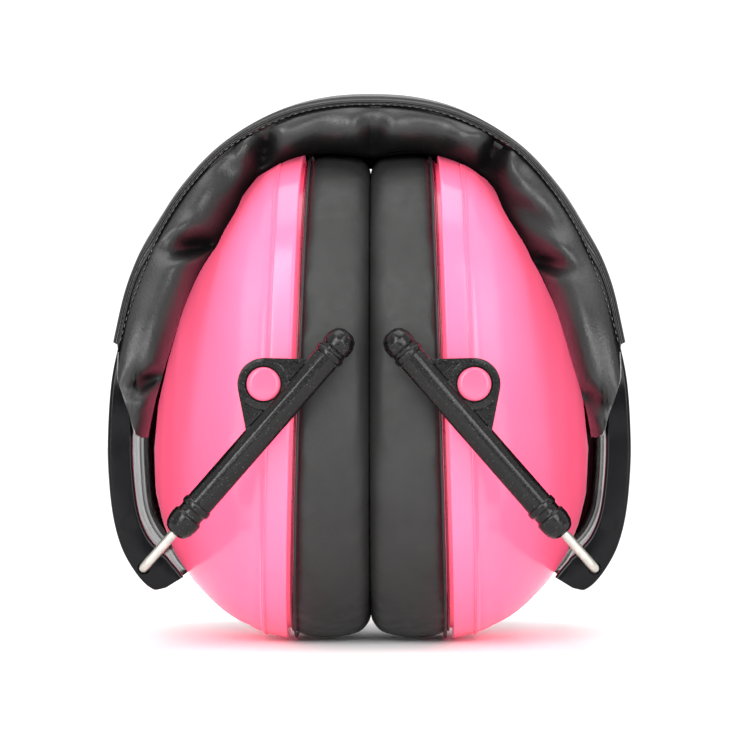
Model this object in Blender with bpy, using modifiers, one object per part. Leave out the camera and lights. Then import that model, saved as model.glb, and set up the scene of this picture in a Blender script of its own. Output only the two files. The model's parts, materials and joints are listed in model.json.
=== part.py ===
"""Folding hearing protection earmuffs, folded for storage.

Frame: metres, +Z up, +X to the viewer's right, the viewer looks along +Y. The origin is on
the surface that the two cups stand on, half way between them. Every side piece is modelled
once, at +X, and its twin at -X is a mirrored copy.
"""
import math

import bmesh
import bpy
from mathutils import Matrix, Vector

MM = 0.001
GAP = 0.3 * MM
WELD = 0.002 * MM
# Half the length of a drill or cutter that passes right through the object.
THROUGH = 60.0 * MM

# Ear cups, in the cup's own frame: X from the rim plane out to the dome, Z up.
CUP_CENTRE = Vector((15.0 * MM, 0.0, 50.75 * MM))
CUP_TILT = math.radians(1.8)
CUP_HALF_HEIGHT = 51.0 * MM
CUP_HALF_WIDTH = 38.5 * MM
CUP_SQUARENESS = 2.5
SKIRT_DEPTH = 3.0 * MM
SHELL_WALL = 2.2 * MM
# Dome sections past the skirt: depth, share of the rim's half height, drop of the section's middle.
DOME_SECTIONS = (
    (4.2, 0.985, 0.0), (9.0, 0.931, -0.9), (14.6, 0.824, -3.2), (20.4, 0.671, -5.7),
    (24.5, 0.514, -8.2), (27.4, 0.343, -10.4), (29.4, 0.180, -11.8),
)
DOME_APEX = (30.2, -12.1)
PLATE_THICKNESS = 1.2 * MM
PLATE_INSET = 1.1 * MM
EAR_HALF_HEIGHT = 33.0 * MM
EAR_HALF_WIDTH = 22.0 * MM
CUSHION_FACE = 0.15 * MM
CUSHION_SKIN = 0.9 * MM
CUSHION_INSET = 0.4 * MM

# Headband, stations from the crown down one side, in millimetres: X and Z of the cover's outer
# crest, half width, depth of the padding in the middle, drop of the outer surface from crest to
# edge, depth at which the band is seated below the crest, depth of the band's edge flanges, and
# how much deeper the padding is at its edges than in the middle.
COVER_STATIONS = (
    (0.0, 113.6, 21.6, 11.2, 2.6, 3.7, 1.9, 2.6), (15.7, 111.3, 22.0, 8.8, 2.3, 3.5, 1.9, 1.8),
    (29.9, 103.4, 23.6, 7.5, 1.6, 2.9, 1.9, 1.8), (38.4, 94.3, 26.8, 10.0, 1.5, 2.8, 2.2, 3.2),
    (44.2, 84.3, 31.3, 9.8, 1.4, 2.7, 2.8, 3.7), (47.7, 74.3, 36.3, 9.0, 1.2, 2.5, 3.4, 3.8),
    (49.7, 64.5, 40.8, 8.0, 0.4, 1.5, 4.2, 3.8), (51.5, 54.0, 42.8, 7.5, 0.1, 1.3, 4.7, 3.2),
    (52.2, 44.0, 42.8, 6.4, 0.1, 1.3, 4.9, 2.6),
)
# The band's bare end: X and Z of its outer surface, half width, flange depth, web thickness.
END_STATIONS = (
    (50.4, 54.0, 41.3, 4.7, 1.8), (51.2, 42.0, 41.4, 4.9, 1.8), (50.9, 33.0, 41.4, 5.0, 1.8),
    (50.0, 26.0, 41.4, 5.2, 1.8), (48.4, 20.5, 41.4, 5.8, 2.6), (46.0, 16.2, 41.4, 6.6, 3.6),
    (43.6, 13.4, 41.4, 6.8, 3.2), (41.2, 12.0, 41.4, 5.7, 2.2),
)
END_TIP_INWARD = Vector((-0.853, 0.0, 0.522))
COVERED_STATIONS = 7
COVER_WALL = 0.8 * MM
BAND_WEB = 1.8 * MM
BAND_MARGIN = 1.8 * MM
FLANGE_WIDTH = 1.8 * MM
# The cover's mouth is cut on a slant: high on the outside, low on the inside.
MOUTH_OUTER = Vector((51.2 * MM, 0.0, 62.5 * MM))
MOUTH_INNER = Vector((46.2 * MM, 0.0, 43.4 * MM))

# The crown segment of the headband ends, and each side segment begins, at this station number.
FLEX_STATION = 1.9
FLEX_HALF_GAP = 0.02
STATION_STEPS = 2

# Wires and arms, in the arm's own frame: Z from the wire's pivot along the arm, X across it.
WIRE_PIVOT = Vector((44.0 * MM, 0.0, 16.8 * MM))
ARM_PLANE = 43.2 * MM
ARM_ANGLE = math.radians(41.07)
WIRE_RADIUS = 0.95 * MM
WIRE_BEND = 1.8 * MM
WIRE_TOP = 46.0 * MM
WIRE_STOP_RADIUS = 1.4 * MM
BUTTON_ALONG = 42.5 * MM
BUTTON_ACROSS = 5.87 * MM
TUBE_FLATS = 5.3 * MM
TUBE_BOTTOM = 16.2 * MM
TUBE_TOP = 55.5 * MM
ARM_TOP = 61.0 * MM
BORE_RADIUS = 1.8 * MM
BORE_TOP = 52.0 * MM
LUG_RADIUS = 5.1 * MM
LUG_FACE = 1.5 * MM
LUG_BACK = 2.2 * MM
LUG_REACH_UP = 54.0 * MM
LUG_REACH_DOWN = 31.5 * MM
BUTTON_RADIUS = 3.32 * MM
BUTTON_SHAFT = 2.3 * MM
BUTTON_HEAD = 1.9 * MM
BUTTON_PROUD = 0.5 * MM
BUTTON_END = 34.6 * MM
BOSS_RADIUS = 4.3 * MM
BOSS_BACK = 36.6 * MM
BOSS_FACE = 40.5 * MM

ROUND_STEPS = 16
CUP_STEPS = 32


def clear_scene():
    """Remove whatever the file opened with."""
    for item in list(bpy.data.objects):
        bpy.data.objects.remove(item, do_unlink=True)


def make_collection(name):
    collection = bpy.data.collections.new(name)
    bpy.context.scene.collection.children.link(collection)
    return collection


def make_material(name, colour, roughness, metallic=0.0):
    """A Principled BSDF with the part's colour, roughness and metallic value."""
    material = bpy.data.materials.new(name)
    material.use_nodes = True
    shader = material.node_tree.nodes["Principled BSDF"]
    shader.inputs["Base Color"].default_value = (*colour, 1.0)
    shader.inputs["Roughness"].default_value = roughness
    shader.inputs["Metallic"].default_value = metallic
    material.diffuse_color = (*colour, 1.0)
    return material


clear_scene()
PARTS = make_collection("hearing_protection_earmuffs")
CUTTERS = make_collection("cutters")
PINK = make_material("pink_plastic", (0.90, 0.10, 0.30), 0.25)
BLACK = make_material("black_plastic", (0.012, 0.012, 0.013), 0.28)
LEATHERETTE = make_material("leatherette", (0.035, 0.035, 0.037), 0.5)
FOAM = make_material("foam", (0.08, 0.08, 0.085), 0.95)
STEEL = make_material("steel_wire", (0.62, 0.61, 0.58), 0.32, 1.0)


# ---------------------------------------------------------------- tools

def add_object(name, data, material=None):
    item = bpy.data.objects.new(name, data)
    PARTS.objects.link(item)
    if material is not None:
        data.materials.append(material)
    return item


def as_cutter(item):
    """Move an object to the cutters and hide it from the render."""
    for collection in list(item.users_collection):
        collection.objects.unlink(item)
    CUTTERS.objects.link(item)
    item.hide_render = True
    item.display_type = "WIRE"
    return item


def smooth(mesh, angle=35.0):
    mesh.shade_smooth()
    mesh.set_sharp_from_angle(angle=math.radians(angle))


def freeze(item):
    """Replace an object by its evaluated mesh, welded and moved to world coordinates."""
    bpy.context.view_layer.update()
    graph = bpy.context.evaluated_depsgraph_get()
    mesh = bpy.data.meshes.new_from_object(item.evaluated_get(graph))
    mesh.transform(item.matrix_world)
    work = bmesh.new()
    work.from_mesh(mesh)
    bmesh.ops.remove_doubles(work, verts=work.verts, dist=WELD)
    bmesh.ops.recalc_face_normals(work, faces=work.faces)
    work.to_mesh(mesh)
    work.free()
    name = item.name
    collection = item.users_collection[0]
    bpy.data.objects.remove(item, do_unlink=True)
    frozen = bpy.data.objects.new(name, mesh)
    mesh.name = name
    collection.objects.link(frozen)
    return frozen


def boolean(item, cutter, operation="DIFFERENCE"):
    modifier = item.modifiers.new(cutter.name, "BOOLEAN")
    modifier.operation = operation
    modifier.solver = "EXACT"
    modifier.object = cutter
    as_cutter(cutter)


def loft(name, rings, material, cyclic=False):
    """Skin a row of equal rings of points; an open row is closed by its first and last ring."""
    work = bmesh.new()
    rows = [[work.verts.new(point) for point in ring] for ring in rings]
    pairs = list(zip(rows, rows[1:] + rows[:1])) if cyclic else list(zip(rows, rows[1:]))
    for low, high in pairs:
        count = len(low)
        for i in range(count):
            j = (i + 1) % count
            work.faces.new((low[i], low[j], high[j], high[i]))
    if not cyclic:
        work.faces.new(list(reversed(rows[0])))
        work.faces.new(rows[-1])
    bmesh.ops.recalc_face_normals(work, faces=work.faces)
    mesh = bpy.data.meshes.new(name)
    work.to_mesh(mesh)
    work.free()
    smooth(mesh)
    return add_object(name, mesh, material)


def tube_loft(name, outer_rings, inner_rings, material):
    """A sleeve between two rows of rings, open at both ends."""
    outward = [outer + inner[::-1] for outer, inner in zip(outer_rings, inner_rings)]
    work = bmesh.new()
    rows = [[work.verts.new(point) for point in ring] for ring in outward]
    half = len(outer_rings[0])
    for low, high in zip(rows, rows[1:]):
        for start in (0, half):
            for i in range(half):
                a = start + i
                b = start + (i + 1) % half
                work.faces.new((low[a], low[b], high[b], high[a]))
    for row in (rows[0], rows[-1]):
        for i in range(half):
            j = (i + 1) % half
            work.faces.new((row[i], row[j], row[2 * half - 1 - j], row[2 * half - 1 - i]))
    bmesh.ops.recalc_face_normals(work, faces=work.faces)
    mesh = bpy.data.meshes.new(name)
    work.to_mesh(mesh)
    work.free()
    smooth(mesh)
    return add_object(name, mesh, material)


def turned(name, profile, material, steps=ROUND_STEPS):
    """A turned solid about Z. The profile runs down the outer side, from top to bottom."""
    mesh = bpy.data.meshes.new(name)
    edges = [(i, i + 1) for i in range(len(profile) - 1)]
    mesh.from_pydata([(radius, 0.0, height) for radius, height in profile], edges, [])
    item = add_object(name, mesh, material)
    screw = item.modifiers.new("turn", "SCREW")
    screw.axis = "Z"
    screw.steps = steps
    screw.render_steps = steps
    screw.use_merge_vertices = True
    screw.merge_threshold = 0.00001
    return item


def cylinder(name, radius, low, high, steps=ROUND_STEPS):
    """A plain cylinder along Z."""
    mesh = bpy.data.meshes.new(name)
    work = bmesh.new()
    bmesh.ops.create_cone(work, cap_ends=True, segments=steps, radius1=radius, radius2=radius,
                          depth=high - low)
    bmesh.ops.translate(work, vec=(0.0, 0.0, (low + high) / 2), verts=work.verts)
    work.to_mesh(mesh)
    work.free()
    return add_object(name, mesh)


def block(name, size, centre):
    """A plain box."""
    mesh = bpy.data.meshes.new(name)
    work = bmesh.new()
    bmesh.ops.create_cube(work, size=1.0)
    bmesh.ops.scale(work, vec=size, verts=work.verts)
    work.to_mesh(mesh)
    work.free()
    item = add_object(name, mesh)
    item.location = centre
    return item


def flat_outline(name, loops, thickness, material):
    """A flat plate in the XY plane from closed outlines; the second and later ones are holes."""
    curve = bpy.data.curves.new(name, "CURVE")
    curve.dimensions = "2D"
    curve.fill_mode = "BOTH"
    curve.extrude = thickness / 2
    for points in loops:
        spline = curve.splines.new("POLY")
        spline.points.add(len(points) - 1)
        for slot, point in zip(spline.points, points):
            slot.co = (point[0], point[1], 0.0, 1.0)
        spline.use_cyclic_u = True
    return add_object(name, curve, material)


def mirrored(item, name, axis):
    """A mirrored copy of a frozen piece, with its faces turned back outwards."""
    mesh = item.data.copy()
    mesh.transform(Matrix.Scale(-1.0, 4, axis))
    mesh.flip_normals()
    mesh.name = name
    copy = bpy.data.objects.new(name, mesh)
    PARTS.objects.link(copy)
    return copy


def value_at(stations, place):
    """Smooth values at a station number, by a curve through all the stations."""
    index = max(0, min(int(place), len(stations) - 2))
    part = place - index
    row = []
    for column in range(len(stations[0])):
        p1 = stations[index][column]
        p2 = stations[index + 1][column]
        p0 = stations[index - 1][column] if index else before_first(stations, column)
        p3 = stations[index + 2][column] if index + 2 < len(stations) else 2 * p2 - p1
        row.append(0.5 * (2 * p1 + (p2 - p0) * part + (2 * p0 - 5 * p1 + 4 * p2 - p3) * part ** 2
                          + (3 * p1 - p0 - 3 * p2 + p3) * part ** 3))
    return row


def before_first(stations, column):
    """The value one station before the first: mirrored over the crown, or in a straight line."""
    first = stations[0][column]
    second = stations[1][column]
    if stations[0][0] == 0.0:
        return -second if column == 0 else second
    return 2 * first - second


def places(first, last, steps_per_station):
    """Evenly spaced station numbers from first to last."""
    count = max(1, round((last - first) * steps_per_station))
    return [first + (last - first) * k / count for k in range(count + 1)]


def oval(half_width, half_height, middle, depth, steps=CUP_STEPS, squareness=CUP_SQUARENESS):
    """An upright superellipse in the YZ plane at X = depth."""
    ring = []
    for k in range(steps):
        angle = 2 * math.pi * (k + 0.5) / steps
        c = math.cos(angle)
        s = math.sin(angle)
        y = half_width * math.copysign(abs(c) ** (2 / squareness), c)
        z = half_height * math.copysign(abs(s) ** (2 / squareness), s)
        ring.append(Vector((depth, y, middle + z)))
    return ring


# ---------------------------------------------------------------- headband

def frames(stations, first, last, tip_inward=None):
    """Points on the outer surface, the inward direction there, and the other station values.
    The inward direction turns to tip_inward over the last stretch between two stations."""
    result = []
    for number in places(first, last, STATION_STEPS):
        row = value_at(stations, number)
        before = value_at(stations, max(number - 0.05, -0.05))
        after = value_at(stations, min(number + 0.05, len(stations) - 1))
        along = Vector((after[0] - before[0], 0.0, after[1] - before[1])).normalized()
        inward = Vector((along.z, 0.0, -along.x))
        if tip_inward is not None:
            inward = inward.lerp(tip_inward, max(0.0, number - (len(stations) - 2))).normalized()
        result.append((Vector((row[0], 0.0, row[1])) * MM, inward, [value * MM for value in row[2:]]))
    return result


def band_stations():
    """The whole band: seated in the cover from the crown down, then its bare end."""
    rows = []
    for number in range(COVERED_STATIONS):
        place, inward, (half, _, _, seat, flange, _) = frames(COVER_STATIONS, number, number + 1)[0]
        seated = (place + inward * seat) / MM
        rows.append((seated.x, seated.z, (half - BAND_MARGIN) / MM, flange / MM, BAND_WEB / MM))
    return tuple(rows) + END_STATIONS


def both_sides(half):
    """Carry a half row of frames over the crown to the other side."""
    other = []
    for place, inward, values in half[:0:-1]:
        other.append((Vector((-place.x, 0.0, place.z)), Vector((-inward.x, 0.0, inward.z)), values))
    return other + half


def place_section(frame, section):
    place, inward, _ = frame
    return [place + inward * depth + Vector((0.0, y, 0.0)) for y, depth in section]


def band_section(frame):
    """A shallow channel: a web with a flange along each edge."""
    half, depth, web = frame[2]
    inner = half - FLANGE_WIDTH
    return place_section(frame, [
        (-half, 0.0), (half, 0.0), (half, depth), (inner, depth),
        (inner, web), (-inner, web), (-inner, depth), (-half, depth),
    ])


def cover_section(frame, inset):
    """The padded sleeve's outline: crowned outside, straight sides, bulging inside."""
    half, depth, crown, _, _, gain = frame[2]
    wide = half - inset
    low = depth - inset
    top = [(share * wide, crown * share ** 2 + inset) for share in (-1.0, -0.6, -0.2, 0.2, 0.6, 1.0)]
    bottom = [(share * wide, low + gain * share ** 2) for share in (0.95, 0.5, 0.0, -0.5, -0.95)]
    side = low + gain - 1.2 * MM
    return place_section(frame, top + [(wide, side)] + bottom + [(-wide, side)])


def foam_section(frame):
    """The pad between the band's web and the inner side of the cover."""
    half, depth, _, seat, _, _ = frame[2]
    wide = half - BAND_MARGIN - FLANGE_WIDTH - 2 * GAP
    top = seat + BAND_WEB + GAP
    low = depth - COVER_WALL - GAP
    edge = top + 0.55 * (low - top)
    return place_section(frame, [
        (-wide, top), (wide, top), (wide, edge), (0.85 * wide, low - 0.7 * MM), (0.3 * wide, low),
        (-0.3 * wide, low), (-0.85 * wide, low - 0.7 * MM), (-wide, edge),
    ])


def headband_crown():
    """The middle of the band with its cover and foam, up to the flex lines."""
    last = FLEX_STATION - FLEX_HALF_GAP
    band = both_sides(frames(band_stations(), 0.0, last))
    loft("headband_crown", [band_section(frame) for frame in band], BLACK)
    cover = both_sides(frames(COVER_STATIONS, 0.0, last))
    tube_loft("cover_crown", [cover_section(frame, 0.0) for frame in cover],
              [cover_section(frame, COVER_WALL) for frame in cover], LEATHERETTE)
    loft("headband_foam_crown", [foam_section(frame) for frame in cover], FOAM)


def mouth_cutter(name, lift):
    """A block whose one face is the slanted mouth, moved up the band by lift."""
    slope = (MOUTH_INNER - MOUTH_OUTER).normalized()
    outward = Vector((-slope.z, 0.0, slope.x))
    middle = (MOUTH_OUTER + MOUTH_INNER) / 2 - outward * lift
    depth = 40 * MM
    item = block(name, (depth, 2 * THROUGH, 2 * THROUGH), middle + outward * depth / 2)
    item.rotation_euler = (0.0, math.atan2(-outward.z, outward.x), 0.0)
    return item


def headband_side():
    """One side of the band with its open end, its cover and its foam."""
    first = FLEX_STATION + FLEX_HALF_GAP
    stations = band_stations()
    band = frames(stations, first, len(stations) - 1, END_TIP_INWARD)
    end = loft("headband_right", [band_section(frame) for frame in band], BLACK)
    hole = cylinder("wire_hole", WIRE_RADIUS + GAP, -THROUGH, THROUGH, 12)
    hole.location = WIRE_PIVOT
    hole.rotation_euler = (math.radians(90), 0.0, 0.0)
    boolean(end, hole)
    cover_frames = frames(COVER_STATIONS, first, len(COVER_STATIONS) - 1)
    cover = tube_loft("cover_right", [cover_section(frame, 0.0) for frame in cover_frames],
                      [cover_section(frame, COVER_WALL) for frame in cover_frames], LEATHERETTE)
    boolean(cover, mouth_cutter("cover_mouth", 0.0))
    foam_frames = frames(COVER_STATIONS, first, len(COVER_STATIONS) - 2)
    foam = loft("headband_foam_right", [foam_section(frame) for frame in foam_frames], FOAM)
    boolean(foam, mouth_cutter("foam_mouth", 1.0 * MM))
    return [freeze(end), freeze(cover), freeze(foam)]


# ---------------------------------------------------------------- ear cups

def to_cup(item):
    """Stand a cup piece in its place, leaning its top a little towards the other cup."""
    item.location = CUP_CENTRE
    item.rotation_euler = (0.0, -CUP_TILT, 0.0)
    return item


def button_point():
    """World position of the axis that the cup swings on, at the plane of symmetry."""
    along = Vector((-math.sin(ARM_ANGLE), 0.0, math.cos(ARM_ANGLE)))
    across = Vector((math.cos(ARM_ANGLE), 0.0, math.sin(ARM_ANGLE)))
    return WIRE_PIVOT + along * BUTTON_ALONG + across * BUTTON_ACROSS


def dome_sections():
    """Depth, half width, half height and middle of each section from the rim to near the apex."""
    sections = [(depth, CUP_HALF_WIDTH, CUP_HALF_HEIGHT, 0.0) for depth in (0.0, SKIRT_DEPTH)]
    for depth, share, drop in DOME_SECTIONS:
        sections.append((depth * MM, CUP_HALF_WIDTH * share ** 0.85, CUP_HALF_HEIGHT * share, drop * MM))
    return sections


def cup_shell():
    """The hard outer cup: a thin dome, open at the rim, with a boss for each pivot."""
    rings = [oval(wide, high, drop, depth) for depth, wide, high, drop in dome_sections()]
    work = bmesh.new()
    rows = [[work.verts.new(point) for point in ring] for ring in rings]
    apex = work.verts.new((DOME_APEX[0] * MM, 0.0, DOME_APEX[1] * MM))
    for low, high in zip(rows, rows[1:]):
        for i in range(CUP_STEPS):
            j = (i + 1) % CUP_STEPS
            work.faces.new((low[i], low[j], high[j], high[i]))
    for i in range(CUP_STEPS):
        work.faces.new((rows[-1][i], rows[-1][(i + 1) % CUP_STEPS], apex))
    bmesh.ops.recalc_face_normals(work, faces=work.faces)
    mesh = bpy.data.meshes.new("cup_shell_right")
    work.to_mesh(mesh)
    work.free()
    smooth(mesh)
    shell = to_cup(add_object("cup_shell_right", mesh, PINK))
    wall = shell.modifiers.new("wall", "SOLIDIFY")
    wall.thickness = SHELL_WALL
    wall.offset = -1.0
    shell = freeze(shell)
    place = button_point()
    for side, label in ((-1.0, "front"), (1.0, "rear")):
        boss = cylinder("boss_" + label, BOSS_RADIUS, BOSS_BACK, BOSS_FACE)
        boss.rotation_euler = (math.radians(-90) * side, 0.0, 0.0)
        boss.location = place
        boolean(shell, boss, "UNION")
    hole = cylinder("boss_hole", BUTTON_SHAFT + GAP, -THROUGH, THROUGH)
    hole.rotation_euler = (math.radians(90), 0.0, 0.0)
    hole.location = place
    boolean(shell, hole)
    floor = block("floor", (4 * THROUGH, 4 * THROUGH, THROUGH), (0.0, 0.0, -THROUGH / 2))
    boolean(shell, floor)
    return freeze(shell)


def ring_outline(inset):
    """An outline of the rim, moved in by inset, as flat points for an upright plate."""
    points = oval(CUP_HALF_WIDTH - inset, CUP_HALF_HEIGHT - inset, 0.0, 0.0)
    return [(point.y, point.z) for point in points]


def cushion_plate():
    """The flat ring that clips into the rim and carries the cushion."""
    ear = [(point.y, point.z) for point in oval(EAR_HALF_WIDTH, EAR_HALF_HEIGHT, 0.0, 0.0, CUP_STEPS, 2.2)]
    plate = flat_outline("cushion_plate_right", [ring_outline(PLATE_INSET), ear], PLATE_THICKNESS, PINK)
    middle = Vector((-GAP - PLATE_THICKNESS / 2, 0.0, 0.0))
    stand = Matrix(((0, 0, 1, 0), (1, 0, 0, 0), (0, 1, 0, 0), (0, 0, 0, 1)))
    lean = Matrix.Translation(CUP_CENTRE) @ Matrix.Rotation(-CUP_TILT, 4, "Y") @ Matrix.Translation(middle)
    plate.matrix_world = lean @ stand
    return freeze(plate)


def cushion_ring(name, section, material):
    """A ring round the ear opening. The section gives, at each corner, the share of the way from
    the outer outline to the ear opening, a distance added to it, and the height above the
    contact face as a share and a distance."""
    back = -2 * GAP - PLATE_THICKNESS
    outer = oval(CUP_HALF_WIDTH - CUSHION_INSET, CUP_HALF_HEIGHT - CUSHION_INSET, 0.0, back)
    inner = oval(EAR_HALF_WIDTH, EAR_HALF_HEIGHT, 0.0, back, CUP_STEPS, 2.2)
    lean = Matrix.Translation(CUP_CENTRE) @ Matrix.Rotation(-CUP_TILT, 4, "Y")
    rings = []
    for far, near in zip(outer, inner):
        far = lean @ far
        near = lean @ near
        way = Vector((0.0, near.y - far.y, near.z - far.z))
        ring = []
        for share, inset, rise, extra in section:
            base = far + way * share + way.normalized() * inset
            depth = far.x + (near.x - far.x) * share
            base.x = CUSHION_FACE + (depth - CUSHION_FACE) * rise + extra
            ring.append(base)
        rings.append(ring)
    return loft(name, rings, material, cyclic=True)


def cushion():
    """The cushion: a leatherette skin, open at the back, over a foam ring."""
    skin = CUSHION_SKIN
    outside = [
        (0.0, 0.0, 1.0, 0.0), (0.0, -0.25 * MM, 0.6, 0.0), (0.0, 0.5 * MM, 0.3, 0.0),
        (0.0, 2.4 * MM, 0.0, 0.0), (1.0, -3.0 * MM, 0.0, 0.0), (1.0, -0.6 * MM, 0.3, 0.0),
        (1.0, 0.0, 1.0, 0.0),
    ]
    inside = [
        (1.0, -skin, 1.0, 0.0), (1.0, -0.6 * MM - skin, 0.3, 0.3 * MM), (1.0, -3.3 * MM, 0.0, skin),
        (0.0, 2.9 * MM, 0.0, skin), (0.0, 0.5 * MM + skin, 0.3, 0.3 * MM),
        (0.0, -0.25 * MM + skin, 0.6, 0.0), (0.0, skin, 1.0, 0.0),
    ]
    cover = cushion_ring("cushion_cover_right", outside + inside, LEATHERETTE)
    play = skin + GAP
    core = [
        (0.0, play, 1.0, -GAP), (0.0, -0.25 * MM + play, 0.6, 0.0),
        (0.0, 0.6 * MM + play, 0.3, 0.5 * MM), (0.0, 3.2 * MM, 0.0, play + GAP),
        (1.0, -3.6 * MM, 0.0, play + GAP), (1.0, -0.7 * MM - play, 0.3, 0.5 * MM),
        (1.0, -play, 1.0, -GAP),
    ]
    foam = cushion_ring("cushion_foam_right", core, FOAM)
    return [freeze(cover), freeze(foam)]


def absorber_foam():
    """The block of foam that fills the dome behind the ear."""
    stations = ((7.0, 0.80, -0.6), (13.0, 0.70, -2.6), (18.0, 0.56, -4.8), (22.0, 0.40, -6.6))
    rings = [oval(CUP_HALF_WIDTH * share ** 0.85, CUP_HALF_HEIGHT * share, drop * MM, depth * MM, 24)
             for depth, share, drop in stations]
    return freeze(to_cup(loft("absorber_foam_right", rings, FOAM)))


def pivot_button():
    """A snap-in pin: a round head in the arm's eye and a stepped shaft through the shell's boss."""
    face = ARM_PLANE + LUG_FACE + BUTTON_PROUD
    neck = face - BUTTON_HEAD
    chamfer = 0.6 * MM
    profile = [
        (0.0, face), (BUTTON_RADIUS - chamfer, face), (BUTTON_RADIUS, face - chamfer),
        (BUTTON_RADIUS, neck), (BUTTON_SHAFT, neck), (BUTTON_SHAFT, BUTTON_END + 2 * chamfer),
        (BUTTON_SHAFT - chamfer, BUTTON_END), (0.0, BUTTON_END),
    ]
    button = turned("pivot_button_right_front", profile, PINK)
    button.rotation_euler = (math.radians(90), 0.0, 0.0)
    button.location = button_point()
    return freeze(button)


# ---------------------------------------------------------------- arms and wires

def to_arm(item):
    """Lay an arm piece along the front arm, its own origin at the wire's pivot."""
    item.location = WIRE_PIVOT - Vector((0.0, ARM_PLANE, 0.0))
    item.rotation_euler = (0.0, -ARM_ANGLE, 0.0)
    return item


def lug_outline():
    """The eye round the button, with straight webs running out to the tube."""
    centre = Vector((BUTTON_ACROSS, BUTTON_ALONG))
    points = []
    for corner, turn in ((Vector((0.0, LUG_REACH_DOWN)), 1), (Vector((0.0, LUG_REACH_UP)), -1)):
        away = centre - corner
        lean = math.asin(LUG_RADIUS / away.length)
        side = Matrix.Rotation(turn * (math.pi / 2 - lean), 2) @ (-away.normalized())
        points.append((corner, centre + side * LUG_RADIUS))
    (low_corner, low_touch), (high_corner, high_touch) = points
    start = math.atan2(low_touch.y - centre.y, low_touch.x - centre.x)
    end = math.atan2(high_touch.y - centre.y, high_touch.x - centre.x)
    steps = 8
    arc = [centre + LUG_RADIUS * Vector((math.cos(a), math.sin(a)))
           for a in (start + (end - start) * k / steps for k in range(steps + 1))]
    return [tuple(low_corner)] + [tuple(point) for point in arc] + [tuple(high_corner)]


def arm():
    """The moulded arm: an eight-sided tube with a rounded top and an eye for the button."""
    flat_radius = TUBE_FLATS / 2 / math.cos(math.pi / 8)
    tube = cylinder("arm_right_front", flat_radius, TUBE_BOTTOM, TUBE_TOP + 1.0 * MM, 8)
    tube.data.transform(Matrix.Rotation(math.pi / 8, 4, "Z"))
    tube.data.materials.append(BLACK)
    top = turned("arm_top", [
        (0.0, ARM_TOP), (1.5 * MM, ARM_TOP - 0.25 * MM), (2.5 * MM, ARM_TOP - 1.2 * MM),
        (3.0 * MM, ARM_TOP - 2.6 * MM), (3.0 * MM, TUBE_TOP + 1.3 * MM),
        (2.75 * MM, TUBE_TOP + 1.0 * MM), (2.75 * MM, TUBE_TOP + 0.5 * MM),
        (3.1 * MM, TUBE_TOP + 0.3 * MM), (3.1 * MM, TUBE_TOP - 0.6 * MM), (0.0, TUBE_TOP - 0.6 * MM),
    ], None, 12)
    boolean(tube, top, "UNION")
    lug = flat_outline("arm_lug", [lug_outline()], LUG_FACE + LUG_BACK, None)
    lug.matrix_world = Matrix(((1, 0, 0, 0), (0, 0, 1, (LUG_BACK - LUG_FACE) / 2), (0, 1, 0, 0), (0, 0, 0, 1)))
    boolean(tube, freeze(lug), "UNION")
    bore = cylinder("arm_bore", BORE_RADIUS, TUBE_BOTTOM - 5 * MM, BORE_TOP, 12)
    boolean(tube, bore)
    across = (math.radians(90), 0.0, 0.0)
    eye = cylinder("arm_eye", BUTTON_SHAFT + GAP, -THROUGH, THROUGH)
    recess = cylinder("arm_recess", BUTTON_RADIUS + GAP, LUG_FACE + BUTTON_PROUD - BUTTON_HEAD - GAP, THROUGH)
    for cutter in (eye, recess):
        cutter.rotation_euler = across
        cutter.location = (BUTTON_ACROSS, 0.0, BUTTON_ALONG)
        boolean(tube, cutter)
    return freeze(to_arm(freeze(tube)))


def guide_cap():
    """The ringed cap on the tube's lower end that guides the wire and keeps it in."""
    bore = WIRE_RADIUS + GAP
    spigot = BORE_RADIUS - GAP
    top = 20.0 * MM
    profile = [
        (bore, top), (spigot, top), (spigot, 15.9 * MM), (3.05 * MM, 15.9 * MM), (3.05 * MM, 15.0 * MM),
        (2.7 * MM, 14.8 * MM), (2.7 * MM, 13.5 * MM), (3.1 * MM, 13.3 * MM), (3.1 * MM, 11.9 * MM),
        (2.85 * MM, 10.6 * MM), (2.2 * MM, 9.5 * MM), (bore, 9.1 * MM), (bore, top),
    ]
    return freeze(to_arm(turned("guide_cap_right_front", profile, BLACK, 12)))


def wire():
    """One bent wire: a leg up each arm and a bridge through the headband's end."""
    along = Vector((-math.sin(ARM_ANGLE), 0.0, math.cos(ARM_ANGLE)))
    side = Vector((0.0, 1.0, 0.0))
    bend_steps = 5
    points = []
    for sign in (-1.0, 1.0):
        leg = [WIRE_PIVOT + along * WIRE_TOP + side * ARM_PLANE * sign]
        centre = WIRE_PIVOT + side * sign * (ARM_PLANE - WIRE_BEND) + along * WIRE_BEND
        for k in range(bend_steps + 1):
            angle = math.pi / 2 * k / bend_steps
            leg.append(centre + side * sign * WIRE_BEND * math.cos(angle) - along * WIRE_BEND * math.sin(angle))
        points += leg if sign < 0 else leg[::-1]
    curve = bpy.data.curves.new("wire_right", "CURVE")
    curve.dimensions = "3D"
    curve.bevel_depth = WIRE_RADIUS
    curve.bevel_resolution = 2
    curve.use_fill_caps = True
    spline = curve.splines.new("POLY")
    spline.points.add(len(points) - 1)
    for slot, point in zip(spline.points, points):
        slot.co = (*point, 1.0)
    rod = freeze(add_object("wire_right", curve, STEEL))
    for sign in (-1.0, 1.0):
        stop = cylinder("wire_stop", WIRE_STOP_RADIUS, WIRE_TOP - 2.4 * MM, WIRE_TOP + 0.4 * MM, 12)
        stop.location = WIRE_PIVOT + side * ARM_PLANE * sign
        stop.rotation_euler = (0.0, -ARM_ANGLE, 0.0)
        boolean(rod, stop, "UNION")
    return freeze(rod)


# ---------------------------------------------------------------- assembly

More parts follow.
